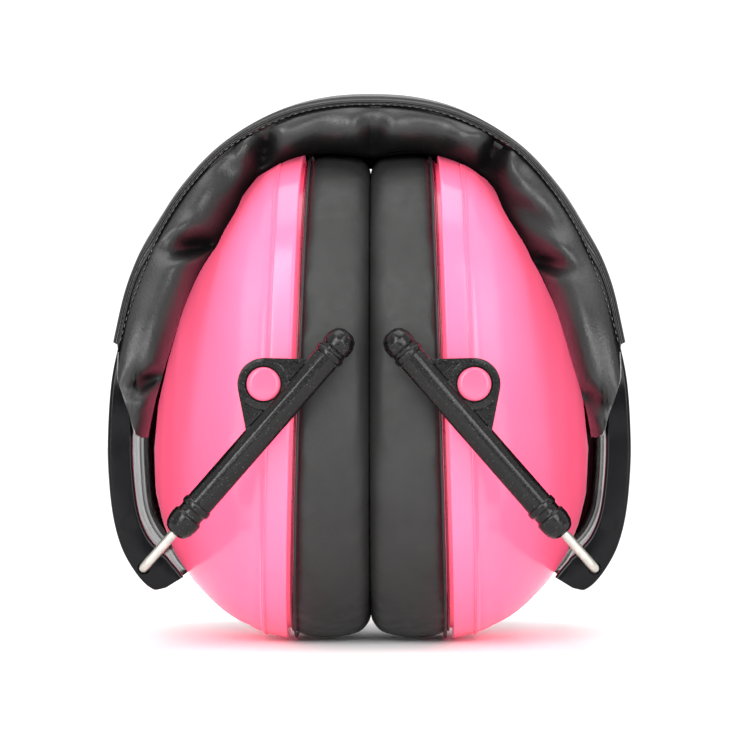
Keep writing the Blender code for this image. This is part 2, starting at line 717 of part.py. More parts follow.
def joint_empty(name, place):
    empty = bpy.data.objects.new(name, None)
    empty.empty_display_size = 8 * MM
    empty.location = place
    PARTS.objects.link(empty)
    return empty


def hang(items, empty):
    """Parent pieces to the empty on their joint's axis without moving them."""
    bpy.context.view_layer.update()
    for item in items:
        item.parent = empty
        item.matrix_parent_inverse = empty.matrix_world.inverted()


def flex_point():
    """The flex line lies just outside the cover's crest, so that nothing binds as it opens."""
    place, inward, _ = frames(COVER_STATIONS, FLEX_STATION, FLEX_STATION + 1)[0]
    return place - inward * GAP


def to_left(items):
    return [mirrored(item, item.name.replace("right", "left"), (1.0, 0.0, 0.0)) for item in items]


def to_rear(items):
    return [mirrored(item, item.name.replace("front", "rear"), (0.0, 1.0, 0.0)) for item in items]


def build():
    headband_crown()
    side = headband_side()
    wires = [wire()]
    arms = [arm(), guide_cap()]
    arms += to_rear(arms)
    buttons = [pivot_button()]
    buttons += to_rear(buttons)
    cup = [cup_shell(), cushion_plate(), absorber_foam()] + cushion() + buttons
    flex = flex_point()
    pivot = button_point()
    for label, sign in (("right", 1.0), ("left", -1.0)):
        groups = (side, wires, arms, cup)
        if sign < 0:
            groups = tuple(to_left(group) for group in groups)
        places = (("flex", flex), ("swing", WIRE_PIVOT), ("slide", WIRE_PIVOT), ("pivot", pivot))
        parent = None
        for (kind, place), group in zip(places, groups):
            empty = joint_empty(f"{label}_{kind}", Vector((place.x * sign, 0.0, place.z)))
            if parent is not None:
                hang([empty], parent)
            hang(group, empty)
            parent = empty


build()
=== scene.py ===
"""Looks of the folding earmuffs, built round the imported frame.

Every piece is made once for the right side (+X) or the right front, in the frame's own metres,
and mirrored for the others. Soft pieces differ from side to side by their folds.
"""

import json
from math import asin, atan2, copysign, cos, exp, pi, radians, sin

import bmesh
import bpy
import numpy as np
from mathutils import Matrix, Vector, noise

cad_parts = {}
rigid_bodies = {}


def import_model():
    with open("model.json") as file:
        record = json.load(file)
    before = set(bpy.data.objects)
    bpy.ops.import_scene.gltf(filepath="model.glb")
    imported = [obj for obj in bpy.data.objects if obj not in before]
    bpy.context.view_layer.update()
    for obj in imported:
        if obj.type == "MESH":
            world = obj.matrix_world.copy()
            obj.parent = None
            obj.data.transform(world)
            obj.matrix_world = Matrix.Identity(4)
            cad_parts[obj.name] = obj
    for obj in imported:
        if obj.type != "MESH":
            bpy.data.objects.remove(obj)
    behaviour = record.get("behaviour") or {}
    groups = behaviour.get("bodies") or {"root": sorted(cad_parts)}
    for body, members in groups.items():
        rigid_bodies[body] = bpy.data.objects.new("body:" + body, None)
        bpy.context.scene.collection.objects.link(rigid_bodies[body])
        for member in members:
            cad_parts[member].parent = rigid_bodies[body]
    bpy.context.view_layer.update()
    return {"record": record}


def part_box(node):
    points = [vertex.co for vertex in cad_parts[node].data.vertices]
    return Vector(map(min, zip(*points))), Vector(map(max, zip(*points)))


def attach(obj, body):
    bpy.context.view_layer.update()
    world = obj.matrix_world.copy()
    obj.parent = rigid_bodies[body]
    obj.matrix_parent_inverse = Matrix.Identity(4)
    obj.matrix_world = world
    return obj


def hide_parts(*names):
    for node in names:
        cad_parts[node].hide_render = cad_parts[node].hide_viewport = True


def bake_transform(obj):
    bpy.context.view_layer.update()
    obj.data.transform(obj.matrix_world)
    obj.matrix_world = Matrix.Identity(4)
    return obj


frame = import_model()

MM = 0.001
X_AXIS = Vector((1, 0, 0))
Y_AXIS = Vector((0, 1, 0))
Z_AXIS = Vector((0, 0, 1))
JOINTS = {joint["name"]: joint for joint in frame["record"]["behaviour"]["joints"]}
SIDES = (("right", 1), ("left", -1))
ENDS = (("front", -1), ("rear", 1))


# ---------------------------------------------------------------- places taken from the frame

def point_of(joint):
    return Vector(JOINTS[joint]["pos_m"])


WIRE_PIVOT = point_of("right_swing")
BUTTON_PIVOT = point_of("right_pivot")
ARM_ALONG = Vector(JOINTS["right_slide"]["axis"]).normalized()
ARM_ACROSS = Vector((ARM_ALONG.z, 0, -ARM_ALONG.x))
ARM_LOW, ARM_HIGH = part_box("arm_right_front")
ARM_PLANE = -(ARM_LOW[1] + ARM_HIGH[1]) / 2
BUTTON_PLACE = BUTTON_PIVOT - WIRE_PIVOT
BUTTON_ALONG = BUTTON_PLACE.dot(ARM_ALONG)
BUTTON_ACROSS = BUTTON_PLACE.dot(ARM_ACROSS)
PLATE_LOW, PLATE_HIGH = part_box("cushion_plate_right")
CUP_TILT = radians(1.8)
PLATE_INSET = 1.1 * MM
CUP_HALF_WIDTH = (PLATE_HIGH[1] - PLATE_LOW[1]) / 2 + PLATE_INSET
CUP_HALF_HEIGHT = (PLATE_HIGH[2] - PLATE_LOW[2]) / 2 + PLATE_INSET
CUP_CENTRE = Vector((15 * MM, 0, (PLATE_HIGH[2] + PLATE_LOW[2]) / 2))

# ---------------------------------------------------------------- driving dimensions

CUP_SQUARENESS = 2.5
EAR_SQUARENESS = 2.2
CUP_STEPS = 144
EAR_HALF_HEIGHT = 33 * MM
EAR_HALF_WIDTH = 22 * MM
SHELL_WALL = 2.2 * MM
BEAD_DEPTH = 5.4
# The skirt's straight strip, which ends at the bead, then the dome: depth in mm, share of the rim's
# half height, drop of the middle in mm.
DOME_SECTIONS = (
    (0, 1, 0), (5.4, 0.979, -0.1), (9, 0.931, -0.9), (14.6, 0.824, -3.2),
    (20.4, 0.671, -5.7), (24.5, 0.514, -8.2), (27.4, 0.343, -10.4), (29.4, 0.180, -11.8),
)
DOME_APEX = (30.2, -12.1)

# The headband's cover, stations from the crown down one side in mm: X and Z of the outer crest,
# half width, depth of the padding, drop of the surface from crest to edge, extra depth at the edge.
COVER_STATIONS = (
    (0, 113.6, 21.6, 11.2, 2.6, 3.2), (15.7, 111.3, 22, 8.8, 2.3, 3.4),
    (29.9, 103.4, 23.6, 7.5, 1.6, 3.3), (38.4, 94.3, 26.8, 10, 1.5, 3.2),
    (44.2, 84.3, 31.3, 9.8, 1.4, 3.7), (47.7, 74.3, 36.3, 9, 1.2, 3.8),
    (49.7, 64.5, 40.8, 8, 0.4, 3.8), (51.5, 54, 42.8, 7.5, 0.1, 3.2),
    (52.2, 44, 42.8, 6.4, 0.1, 2.6), (52.6, 34, 42.8, 5.6, 0.1, 2.2),
)
# Where the band sits in the cover: its depth below the crest and the depth of its flanges.
BAND_SEATS = ((3.7, 1.9), (3.5, 1.9), (2.9, 1.9), (2.8, 2.2), (2.7, 2.8), (2.5, 3.4), (1.5, 4.2))
BAND_MARGIN = 1.8
BAND_WEB = 1.8
# Its bare end: X and Z of the outer surface, half width, flange depth, web.
END_STATIONS = (
    (50.4, 54, 41.3, 4.7, 1.8), (51.2, 42, 41.4, 4.9, 1.8), (50.9, 33, 41.4, 5, 1.8),
    (50, 26, 41.4, 5.2, 1.8), (48.4, 20.5, 41.4, 5.8, 2.6), (46, 16.2, 41.4, 6.6, 3.6),
    (43.6, 13.4, 41.4, 6.8, 3.2), (41.2, 12, 41.4, 5.7, 2.2),
)
TIP_ROUNDING = 1.6 * MM
TIP_STRETCH = 0.35
BAND_TIP_INWARD = Vector((-0.853, 0, 0.522))
MARK_STATION = 10.2

WIRE_RADIUS = 0.95 * MM
WIRE_BEND = 1.8 * MM
WIRE_TOP = 46 * MM
TUBE_FLATS = 5.3 * MM
TUBE_BOTTOM = 16.2 * MM
TUBE_TOP = 55.5 * MM
ARM_TOP = 61 * MM
LUG_RADIUS = 5.1 * MM
LUG_FACE = 1.5 * MM
LUG_BACK = 2.2 * MM
LUG_REACH_UP = 54 * MM
LUG_REACH_DOWN = 31.5 * MM
BUTTON_RADIUS = 3.32 * MM
BUTTON_SHAFT = 2.3 * MM
BUTTON_HEAD = 1.9 * MM
BUTTON_PROUD = 0.5 * MM
BUTTON_END = 34.6 * MM
GAP = 0.3 * MM
CUTTER = 9 * MM
EJECTOR_PLACE = Vector((3.6 * MM, 0, 49 * MM))


# ---------------------------------------------------------------- materials

COAT_ROUGHNESS = 0.08


class Shader:
    """A Principled material and the few node patterns that the finishes are made of."""

    def __init__(self, name, colour, roughness, metallic=0, coat=0, sheen=0, specular=0.5):
        self.material = bpy.data.materials.new(name)
        self.material.use_nodes = True
        self.tree = self.material.node_tree
        self.bsdf = self.tree.nodes["Principled BSDF"]
        for socket, value in (
            ("Base Color", (*colour, 1)), ("Roughness", roughness), ("Metallic", metallic),
            ("Coat Weight", coat), ("Sheen Weight", sheen), ("Specular IOR Level", specular),
        ):
            self.bsdf.inputs[socket].default_value = value
        if coat:
            self.bsdf.inputs["Coat Roughness"].default_value = COAT_ROUGHNESS
        self.material.diffuse_color = (*colour, 1)
        self.height = None

    def node(self, kind, **values):
        """A new node; values whose names have a capital letter are inputs, the others settings."""
        item = self.tree.nodes.new("ShaderNode" + kind)
        for name, value in values.items():
            if name[0].isupper():
                item.inputs[name].default_value = value
            else:
                setattr(item, name, value)
        return item

    def link(self, start, end):
        self.tree.links.new(start, end)

    def place(self, stretch=1):
        """Object coordinates in millimetres, stretched along Z if asked."""
        mapping = self.node("Mapping", Scale=(1 / MM, 1 / MM, 1 / (MM * stretch)))
        self.link(self.node("TexCoord").outputs["Object"], mapping.inputs["Vector"])
        return mapping.outputs["Vector"]

    def noise(self, size, detail=2, stretch=1):
        """Noise whose blotches are about size millimetres across."""
        item = self.node("TexNoise", Scale=1 / size, Detail=detail)
        self.link(self.place(stretch), item.inputs["Vector"])
        return item.outputs["Fac"]

    def cells(self, size, feature="F1"):
        """Distance to the nearest of many points about size millimetres apart."""
        item = self.node("TexVoronoi", feature=feature, Scale=1 / size)
        self.link(self.place(), item.inputs["Vector"])
        return item.outputs["Distance"]

    def ramp(self, source, *stops):
        """Goes from one value or colour to another between two levels of the source."""
        item = self.node("ValToRGB")
        for element, level, value in zip(item.color_ramp.elements, stops[::2], stops[1::2]):
            element.position = level
            element.color = (*value, 1) if isinstance(value, tuple) else (value, value, value, 1)
        self.link(source, item.inputs["Fac"])
        return item.outputs["Color"]

    def pattern(self, kind, *values):
        """The output of a pattern such as ("noise", size, detail)."""
        return getattr(self, kind)(*values)

    def bump(self, source, depth):
        """Relief of the given depth in millimetres; calls stack."""
        item = self.node("Bump", Strength=1, Distance=depth * MM)
        self.link(source, item.inputs["Height"])
        if self.height is not None:
            self.link(self.height, item.inputs["Normal"])
        self.shape(item)

    def shape(self, item):
        """Let a node set the surface's normal."""
        self.height = item.outputs["Normal"]
        self.link(self.height, self.bsdf.inputs["Normal"])

    def openness(self, reach):
        """How open a place is: low in creases and gaps narrower than reach millimetres."""
        return self.node("AmbientOcclusion", samples=6, Distance=reach * MM).outputs["AO"]

    def round_edges(self, radius):
        """Softens sharp edges by radius millimetres; it comes before any bump."""
        self.shape(self.node("Bevel", samples=6, Radius=radius * MM))


def finish(name, colour, roughness, tones=None, gloss=None, relief=(), edge=0, crease_shade=None, **values):
    """A finish: a flat colour and roughness, the patterns that take their place, and its relief."""
    shader = Shader(name, colour, roughness, **values)
    if edge:
        shader.round_edges(edge)
    # The crease levels turn reflections down in hollows, creases and narrow gaps: painted shade.
    for socket, levels in (("Base Color", tones), ("Specular IOR Level", crease_shade), ("Roughness", gloss)):
        if levels:
            shader.link(shader.ramp(shader.pattern(*levels[0]), *levels[1:]), shader.bsdf.inputs[socket])
    for pattern, depth in relief:
        shader.bump(shader.pattern(*pattern), depth)
    return shader.material


# Glossy injection moulded plastic with a faint ripple.
PINK = finish(
    "pink_plastic", (0.93, 0.114, 0.220), 0.24, coat=0.08, specular=0.38,
    tones=(("noise", 14), 0.3, (0.92, 0.110, 0.213), 0.7, (0.94, 0.119, 0.228)),
    gloss=(("noise", 0.9, 4), 0.3, 0.17, 0.75, 0.26),
    relief=((("noise", 2.2, 1), 0.009),))
# The same pink plastic where the cushion shades it, painted a deeper crimson as painted shade.
PINK_PAINTED_SHADE = finish(
    "plate_plastic", (0.16, 0.004, 0.025), 0.4,
    gloss=(("noise", 0.8, 3), 0.3, 0.25, 0.7, 0.4),
    relief=((("noise", 0.3, 2), 0.003),))
# Satin black for the band's bare end, with fine flow marks along its length.
BLACK = finish(
    "black_plastic", (0.0022, 0.0022, 0.003), 0.16, specular=0.14,
    tones=(("noise", 6), 0.3, (0.0018, 0.0018, 0.0024), 0.7, (0.003, 0.003, 0.0038)),
    gloss=(("noise", 1.1, 4, 4), 0.3, 0.12, 0.75, 0.2),
    relief=((("noise", 0.5, 3, 3), 0.002),))
# Black for the arms: a spark-eroded grain with pale specks and softened edges.
GRAINED = finish(
    "grained_plastic", (0.003, 0.003, 0.003), 0.2, specular=0.26, edge=0.22,
    tones=(("cells", 0.7), 0.10, (0.045, 0.045, 0.043), 0.2, 0.003),
    gloss=(("noise", 0.35, 3), 0.35, 0.14, 0.7, 0.3),
    relief=((("noise", 0.5, 3), 0.022), (("cells", 0.35), 0.008)))
# Dark coated fabric: pebbled grain, fine pores, and painted shade in its folds, where occlusion turns its
# gloss down.
LEATHER = finish(
    "leatherette", (0.004, 0.004, 0.0042), 0.38, specular=0.4,
    tones=(("noise", 9, 3), 0.3, (0.0035, 0.0035, 0.0037), 0.7, (0.0052, 0.0052, 0.0052)),
    crease_shade=(("openness", 10), 0.6, 0, 0.97, 0.48),
    gloss=(("noise", 1.4, 4), 0.3, 0.33, 0.7, 0.42),
    relief=((("cells", 0.55, "SMOOTH_F1"), 0.035), (("noise", 0.22, 3), 0.012)))
# The cushions' softer skin: a finer grain and a duller face.
CUSHION = finish(
    "cushion_leatherette", (0.012, 0.012, 0.012), 0.48, specular=0.3,
    tones=(("noise", 12, 3), 0.3, (0.014, 0.014, 0.0137), 0.7, (0.020, 0.020, 0.0197)),
    gloss=(("noise", 2.2, 4), 0.3, 0.45, 0.7, 0.6),
    relief=((("cells", 0.4, "SMOOTH_F1"), 0.022), (("noise", 0.15, 3), 0.008)))
# The flattened hem between the seam and the outer piping: dull and coarse.
HEM = finish(
    "seam_fabric", (0.03, 0.03, 0.03), 0.7,
    tones=(("noise", 0.5, 3), 0.35, 0.014, 0.75, (0.075, 0.075, 0.073)),
    relief=((("noise", 0.3, 3), 0.08),))
THREAD = finish(
    "thread", (0.07, 0.068, 0.064), 0.7,
    tones=(("noise", 0.6), 0.3, (0.04, 0.039, 0.037), 0.7, (0.10, 0.098, 0.092)),
    relief=((("noise", 0.08), 0.02),))
# The pale raw edge of the coated fabric where it is cut.
EDGE = finish(
    "cut_edge", (0.14, 0.135, 0.13), 0.5,
    tones=(("noise", 0.8, 3), 0.3, (0.07, 0.068, 0.065), 0.7, (0.22, 0.21, 0.20)),
    relief=((("noise", 0.2), 0.03),))
# Drawn spring wire: warm metal, slightly uneven.
STEEL = finish(
    "steel_wire", (0.46, 0.445, 0.40), 0.42, metallic=1,
    tones=(("noise", 1.2, 4), 0.3, (0.42, 0.405, 0.36), 0.7, (0.52, 0.50, 0.455)),
    gloss=(("noise", 0.3, 4), 0.3, 0.34, 0.7, 0.5),
    relief=((("noise", 0.12, 3), 0.006),))
# Open cell foam, dark grey.
FOAM = finish(
    "foam", (0.035, 0.035, 0.037), 0.95, sheen=0.1,
    tones=(("cells", 0.7), 0.1, (0.012, 0.012, 0.013), 0.6, (0.06, 0.06, 0.062)),
    relief=((("cells", 0.7), 0.3),))
FLOOR_PAINT = finish(
    "pale_floor", (0.93, 0.93, 0.93), 0.7,
    tones=(("noise", 60), 0.3, 0.92, 0.7, 0.94))


# ---------------------------------------------------------------- mesh tools

def add_object(name, data):
    item = bpy.data.objects.new(name, data)
    bpy.context.scene.collection.objects.link(item)
    return item


def add_mesh(name, mesh, *materials):
    item = add_object(name, mesh)
    for material in materials:
        mesh.materials.append(material)
    return item


def shaded(mesh, angle):
    """Smooth shading with sharp edges above an angle in degrees."""
    mesh.shade_smooth()
    mesh.set_sharp_from_angle(angle=radians(angle))
    return mesh


def mesh_of(work, name):
    mesh = bpy.data.meshes.new(name)
    work.to_mesh(mesh)
    work.free()
    return mesh


def finish_mesh(work, name, *materials, angle=40):
    """Turn a bmesh into a smooth shaded object whose faces point out."""
    bmesh.ops.recalc_face_normals(work, faces=work.faces)
    return add_mesh(name, shaded(mesh_of(work, name), angle), *materials)


def skin(work, rings, closed=True, cyclic=False):
    """Faces between a row of equal rings of points; returns the rows of vertices."""
    rows = [[work.verts.new(point) for point in ring] for ring in rings]
    pairs = list(zip(rows, rows[1:] + rows[:1])) if cyclic else list(zip(rows, rows[1:]))
    for low, high in pairs:
        count = len(low)
        for i in range(count if closed else count - 1):
            j = (i + 1) % count
            work.faces.new((low[i], low[j], high[j], high[i]))
    return rows


def loft(name, rings, material, cyclic=False, angle=40):
    work = bmesh.new()
    rows = skin(work, rings, cyclic=cyclic)
    if not cyclic:
        work.faces.new(rows[0])
        work.faces.new(rows[-1])
    return finish_mesh(work, name, material, angle=angle)


def circle(centre, a, b, radius, steps):
    """Points round a centre in the plane of two unit directions."""
    return [centre + (a * cos(t) + b * sin(t)) * radius
            for t in (2 * pi * k / steps for k in range(steps))]


def turned(name, profile, material, steps=64, angle=30):
    """A turned solid about Z from (radius, height) pairs; a profile that starts and ends on the
    axis is closed there, any other profile is a closed ring."""
    work = bmesh.new()
    solid = profile[0][0] == 0
    body = profile[1:-1] if solid else profile
    rings = []
    for radius, height in body:
        rings.append([Vector((radius * cos(2 * pi * k / steps),
                              radius * sin(2 * pi * k / steps), height)) for k in range(steps)])
    rows = skin(work, rings, cyclic=not solid)
    if solid:
        for row, height in ((rows[0], profile[0][1]), (rows[-1], profile[-1][1])):
            tip = work.verts.new((0, 0, height))
            for i in range(steps):
                work.faces.new((row[i], row[(i + 1) % steps], tip))
    return finish_mesh(work, name, material, angle=angle)


def rounded(points, radius, steps=3):
    """A profile with each inner corner replaced by a small arc."""
    result = [points[0]]
    for before, corner, after in zip(points, points[1:], points[2:]):
        p = Vector(corner)
        a = Vector(before) - p
        b = Vector(after) - p
        cut = min(radius, a.length * 0.45, b.length * 0.45)
        start = p + a.normalized() * cut
        end = p + b.normalized() * cut
        for k in range(steps + 1):
            t = k / steps
            result.append(tuple((1 - t) ** 2 * start + 2 * t * (1 - t) * p + t * t * end))
    result.append(points[-1])
    return result


def in_metres(points):
    return [tuple(value * MM for value in point) for point in points]


def value_at(stations, place):
    """Smooth values at a station number, by a curve through all the stations."""
    index = max(0, min(int(place), len(stations) - 2))
    part = place - index
    row = []
    for column, (p1, p2) in enumerate(zip(stations[index], stations[index + 1])):
        p0 = stations[index - 1][column] if index else before_first(stations, column)
        p3 = stations[index + 2][column] if index + 2 < len(stations) else 2 * p2 - p1
        row.append(0.5 * (2 * p1 + (p2 - p0) * part + (2 * p0 - 5 * p1 + 4 * p2 - p3) * part ** 2
                          + (3 * p1 - p0 - 3 * p2 + p3) * part ** 3))
    return row


def before_first(stations, column):
    """The value one station before the first: mirrored over the crown, or in a straight line."""
    if stations[0][0] == 0 and stations[0][1] > 100:
        return -stations[1][column] if column == 0 else stations[1][column]
    return 2 * stations[0][column] - stations[1][column]


def oval(half_width, half_height, middle, depth, steps=CUP_STEPS, squareness=CUP_SQUARENESS):
    """An upright superellipse in the YZ plane at X = depth, with points spread evenly enough."""
    ring = []
    for k in range(steps):
        angle = 2 * pi * (k + 0.5) / steps
        c = cos(angle)
        s = sin(angle)
        y = half_width * copysign(abs(c) ** (2 / squareness), c)
        z = half_height * copysign(abs(s) ** (2 / squareness), s)
        ring.append(Vector((depth, y, middle + z)))
    return ring


def cup_matrix():
    return Matrix.Translation(CUP_CENTRE) @ Matrix.Rotation(-CUP_TILT, 4, "Y")


def arm_matrix():
    """The front arm's frame: Z along the arm from the wire's pivot, X across it, Y front to rear."""
    rotation = Matrix((
        (ARM_ACROSS.x, 0, ARM_ALONG.x), (0, 1, 0), (ARM_ACROSS.z, 0, ARM_ALONG.z))).to_4x4()
    return Matrix.Translation(WIRE_PIVOT - Vector((0, ARM_PLANE, 0))) @ rotation


def moved(item, matrix):
    item.data.transform(matrix)
    return item


def faced(item, place, sign):
    """Move a piece made along Z to a place, with its top towards the front (1) or the rear (-1)."""
    return moved(item, Matrix.Translation(place) @ Matrix.Rotation(radians(90) * sign, 4, "X"))


def mirrored(item, old, new, axis):
    """A mirrored copy of a piece, with its faces turned back outwards and a word of its name changed."""
    mesh = item.data.copy()
    mesh.transform(Matrix.Scale(-1, 4, axis))
    mesh.flip_normals()
    name = item.name.replace(old, new)
    mesh.name = name
    return add_object(name, mesh)


def to_left(item):
    return mirrored(item, "right", "left", X_AXIS)


def applied(item):
    """The piece with its modifiers applied."""
    graph = bpy.context.evaluated_depsgraph_get()
    mesh = bpy.data.meshes.new_from_object(item.evaluated_get(graph))
    old = item.data
    item.modifiers.clear()
    item.data = mesh
    bpy.data.meshes.remove(old)
    return item


def boolean(item, other, operation):
    """Join or cut with another piece, which is then removed."""
    modifier = item.modifiers.new(operation, "BOOLEAN")
    modifier.operation = operation
    modifier.object = other
    applied(item)
    bpy.data.objects.remove(other, do_unlink=True)
    return item


def cylinder(name, radius, low, high, steps=48):
    return turned(name, [(0, low), (radius, low), (radius, high), (0, high)], GRAINED, steps)


def round_mark(name, radii, low, high, material, steps):
    """A cutter for a round groove between two radii."""
    inner, outer = radii
    return turned(name, [(inner, low), (outer, low), (outer, high), (inner, high)], material, steps)


def prism(name, outline, low, high, material):
    """A straight block over a flat outline of (x, z) points, from Y = low to Y = high."""
    rings = [[Vector((x, y, z)) for x, z in outline] for y in (low, high)]
    return loft(name, rings, material, angle=30)


# ---------------------------------------------------------------- ear cups

# The skirt's surface in mm: depth from the plate and how far it is cut back, then the same for the
# double bead, whose depths count from its middle.
SKIRT_RINGS = ((0.5, 0.25), (0.62, 0.08), (0.8, 0), (1.3, 0), (2, 0), (3, 0), (4.2, 0))
BEAD_RINGS = (
    (-0.75, 0), (-0.6, 0.02), (-0.5, -0.14), (-0.4, -0.22), (-0.3, -0.16), (-0.2, -0.24), (-0.1, -0.08),
    (0, 0.02), (0.12, -0.04), (0.24, 0.04), (0.36, 0.14), (0.5, 0.20), (0.8, 0.16),
)


def dome_depths(plain):
    """Depth and cut of every ring in mm; the plain ones, for the inside, leave the bead out."""
    depths = list(SKIRT_RINGS) + [(BEAD_DEPTH + offset, cut) for offset, cut in BEAD_RINGS]
    depth = BEAD_DEPTH + 1.6
    while depth < 29.3:
        depths.append((depth, 0.1 if depth < 9 else 0))
        depth += 0.9 if depth < 24 else 0.45
    if plain:
        inside = [(d, 0) for d, _ in depths if d > 2.5 and abs(d - BEAD_DEPTH) > 0.9]
        depths = [(0.5, 0), (1, 0)] + inside
    return depths


def dome_rings(inset):
    """Rings of the dome from the rim to near the apex, moved in by inset."""
    rings = []
    for depth, cut in dome_depths(inset > 0):
        place = next(i for i in range(len(DOME_SECTIONS) - 1, -1, -1) if DOME_SECTIONS[i][0] <= depth)
        place = min(place, len(DOME_SECTIONS) - 2)
        span = DOME_SECTIONS[place + 1][0] - DOME_SECTIONS[place][0]
        number = place + (depth - DOME_SECTIONS[place][0]) / span
        _, share, drop = value_at(DOME_SECTIONS, number)
        if depth < BEAD_DEPTH:
            share = 1 + (DOME_SECTIONS[1][1] - 1) * depth / BEAD_DEPTH
        shrink = (inset + cut) * MM
        rings.append(oval(CUP_HALF_WIDTH * share ** 0.85 - shrink, CUP_HALF_HEIGHT * share - shrink,
                          drop * MM, depth * MM))
    return rings


# The boss behind each button, from the pivot's middle outwards: radius and distance, mm.
BOSS_PROFILE = ((0, 36), (5.2, 36), (4.9, 38), (4.4, 38.8), (4.3, 40.2), (4, 40.5), (0, 40.5))


def cup_dome():
    """The pink shell: a thin dome with a rounded rim, a double bead and a boss for each pivot."""
    outer = dome_rings(0)
    inner = [[point - Vector((SHELL_WALL if k else 0, 0, 0)) for point in ring]
             for k, ring in enumerate(dome_rings(SHELL_WALL / MM))]
    inner = [ring for ring in inner if ring[0].x < 25.5 * MM]
    work = bmesh.new()
    rows = skin(work, inner[::-1] + outer)
    for row, apex in ((rows[0], (inner[-1][0].x + 0.3 * MM, DOME_APEX[1] * 0.8)),
                      (rows[-1], (DOME_APEX[0] * MM, DOME_APEX[1]))):
        tip = work.verts.new((apex[0], 0, apex[1] * MM))
        for i in range(CUP_STEPS):
            work.faces.new((row[i], row[(i + 1) % CUP_STEPS], tip))
    dome = moved(finish_mesh(work, "cup_dome_right", PINK, angle=50), cup_matrix())
    for label, side in ENDS:
        boss = turned("boss_" + label, in_metres(BOSS_PROFILE), PINK, 48)
        boolean(dome, faced(boss, BUTTON_PIVOT, -side), "UNION")
    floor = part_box("cup_shell_right")[0][2]
    for vertex in dome.data.vertices:
        vertex.co.z = max(vertex.co.z, floor)
    shaded(dome.data, 50)
    return dome


def rim_plate():
    """The flat ring between the rim and the cushion, with a small rounded edge."""
    front = -PLATE_FRONT
    back = -PLATE_BACK
    rings = []
    for inset, depth in ((2, front), (1.65, front - 0.1 * MM), (1.6, (front + back) / 2),
                         (1.65, back + 0.1 * MM), (2, back)):
        rings.append(oval(CUP_HALF_WIDTH - inset * MM, CUP_HALF_HEIGHT - inset * MM, 0, depth))
    for grow, depth in ((-0.3, back), (0, back + 0.15 * MM), (0, front - 0.15 * MM), (-0.3, front)):
        rings.append(oval(EAR_HALF_WIDTH - grow * MM, EAR_HALF_HEIGHT - grow * MM, 0, depth,
                          CUP_STEPS, EAR_SQUARENESS))
    # The plate's dark crimson is painted shade from the cushion, laid on pink plastic.
    return moved(loft("rim_plate_right", rings, PINK_PAINTED_SHADE, cyclic=True), cup_matrix())


CUSHION_SECTION = (
    # share of the way from the outer outline to the ear, distance added in mm, height from the
    # contact face as a share, distance added in mm
    (0, 1.4, 1, 0), (0, 0.6, 1, -0.2), (0, 0.3, 0.93, 0), (0, 0.1, 0.75, 0),
    (0, 0.1, 0.55, 0), (0, 0.2, 0.38, 0), (0, 0.5, 0.22, 0), (0, 1, 0.10, 0),
    (0, 1.8, 0.025, 0), (0, 3, 0, 0), (0.5, 0, 0, 0), (1, -4, 0.01, 0),
    (1, -2, 0.12, 0), (1, -0.9, 0.32, 0), (1, -0.5, 0.6, 0), (1, -0.8, 0.85, 0),
    (1, -1.8, 1, 0), (0.5, 0, 1, 0),
)
CLOTH_FRAMES = 20
CONTACT_X = 0
PLATE_FRONT = 0.2 * MM
PLATE_BACK = 0.75 * MM
CUSHION_BACK = 0.85 * MM


def cushion_base(steps):
    """The cushion before it swells: a ring with the section above."""
    back = -CUSHION_BACK
    outer = oval(CUP_HALF_WIDTH - 0.2 * MM, CUP_HALF_HEIGHT - 0.2 * MM, 0, back, steps)
    inner = oval(EAR_HALF_WIDTH, EAR_HALF_HEIGHT, 0, back, steps, EAR_SQUARENESS)
    lean = cup_matrix()
    rings = []
    for far, near in zip(outer, inner):
        far = lean @ far
        near = lean @ near
        way = Vector((0, near.y - far.y, near.z - far.z))
        ring = []
        sag = 1 + 0.4 * max(0, (CUP_CENTRE.z - far.z) / CUP_HALF_HEIGHT) ** 2
        for share, inset, rise, extra in CUSHION_SECTION:
            base = far + way * share + way.normalized() * inset * (sag if rise < 0.6 else 1) * MM
            depth = far.x + (near.x - far.x) * share
            base.x = CONTACT_X + (depth - CONTACT_X) * rise + extra * MM
            ring.append(base)
        rings.append(ring)
    return rings


def points_of(item):
    flat = np.empty(len(item.data.vertices) * 3)
    item.data.vertices.foreach_get("co", flat)
    return flat.reshape(-1, 3)


def swollen(item, voxel, pressure, cap):
    """Let cloth pressure swell a padded piece, then hold every point within cap of its start."""
    scene = bpy.context.scene
    remesh = item.modifiers.new("even", "REMESH")
    remesh.mode = "VOXEL"
    remesh.voxel_size = voxel
    applied(item)
    start = points_of(item)
    group = item.vertex_groups.new(name="held")
    lean = cup_matrix().inverted()
    back = -CUSHION_BACK - 1 * MM
    held = [k for k, point in enumerate(start) if (lean @ Vector(point)).x > back]
    group.add(held, 1, "REPLACE")
    cloth = item.modifiers.new("swell", "CLOTH")
    settings = cloth.settings
    settings.quality = 6
    settings.use_pressure = True
    settings.uniform_pressure_force = pressure
    settings.vertex_group_mass = "held"
    settings.effector_weights.gravity = 0
    cloth.point_cache.frame_start = 1
    cloth.point_cache.frame_end = CLOTH_FRAMES
    for number in range(1, CLOTH_FRAMES + 1):
        scene.frame_set(number)
    applied(item)
    scene.frame_set(1)
    step = points_of(item) - start
    length = np.linalg.norm(step, axis=1, keepdims=True)
    end = start + step * np.minimum(1, cap / np.maximum(length, 1e-9))
    item.data.vertices.foreach_set("co", end.reshape(-1))
    return item


def settle_cushion(item):
    """Flatten the cushion where the other one presses on it, and give its skin slight slackness."""
    outer = CUP_HALF_WIDTH
    for vertex in item.data.vertices:
        p = vertex.co
        wave = noise.noise(Vector((p.x, p.y, p.z)) / (11 * MM)) * 0.12 * MM
        side = Vector((0, p.y / outer, (p.z - CUP_CENTRE.z) / CUP_HALF_HEIGHT))
        if side.length > 0.8:
            p += side.normalized() * wave
        p.x = max(p.x, CONTACT_X)
        p.z = max(p.z, 0.1 * MM)


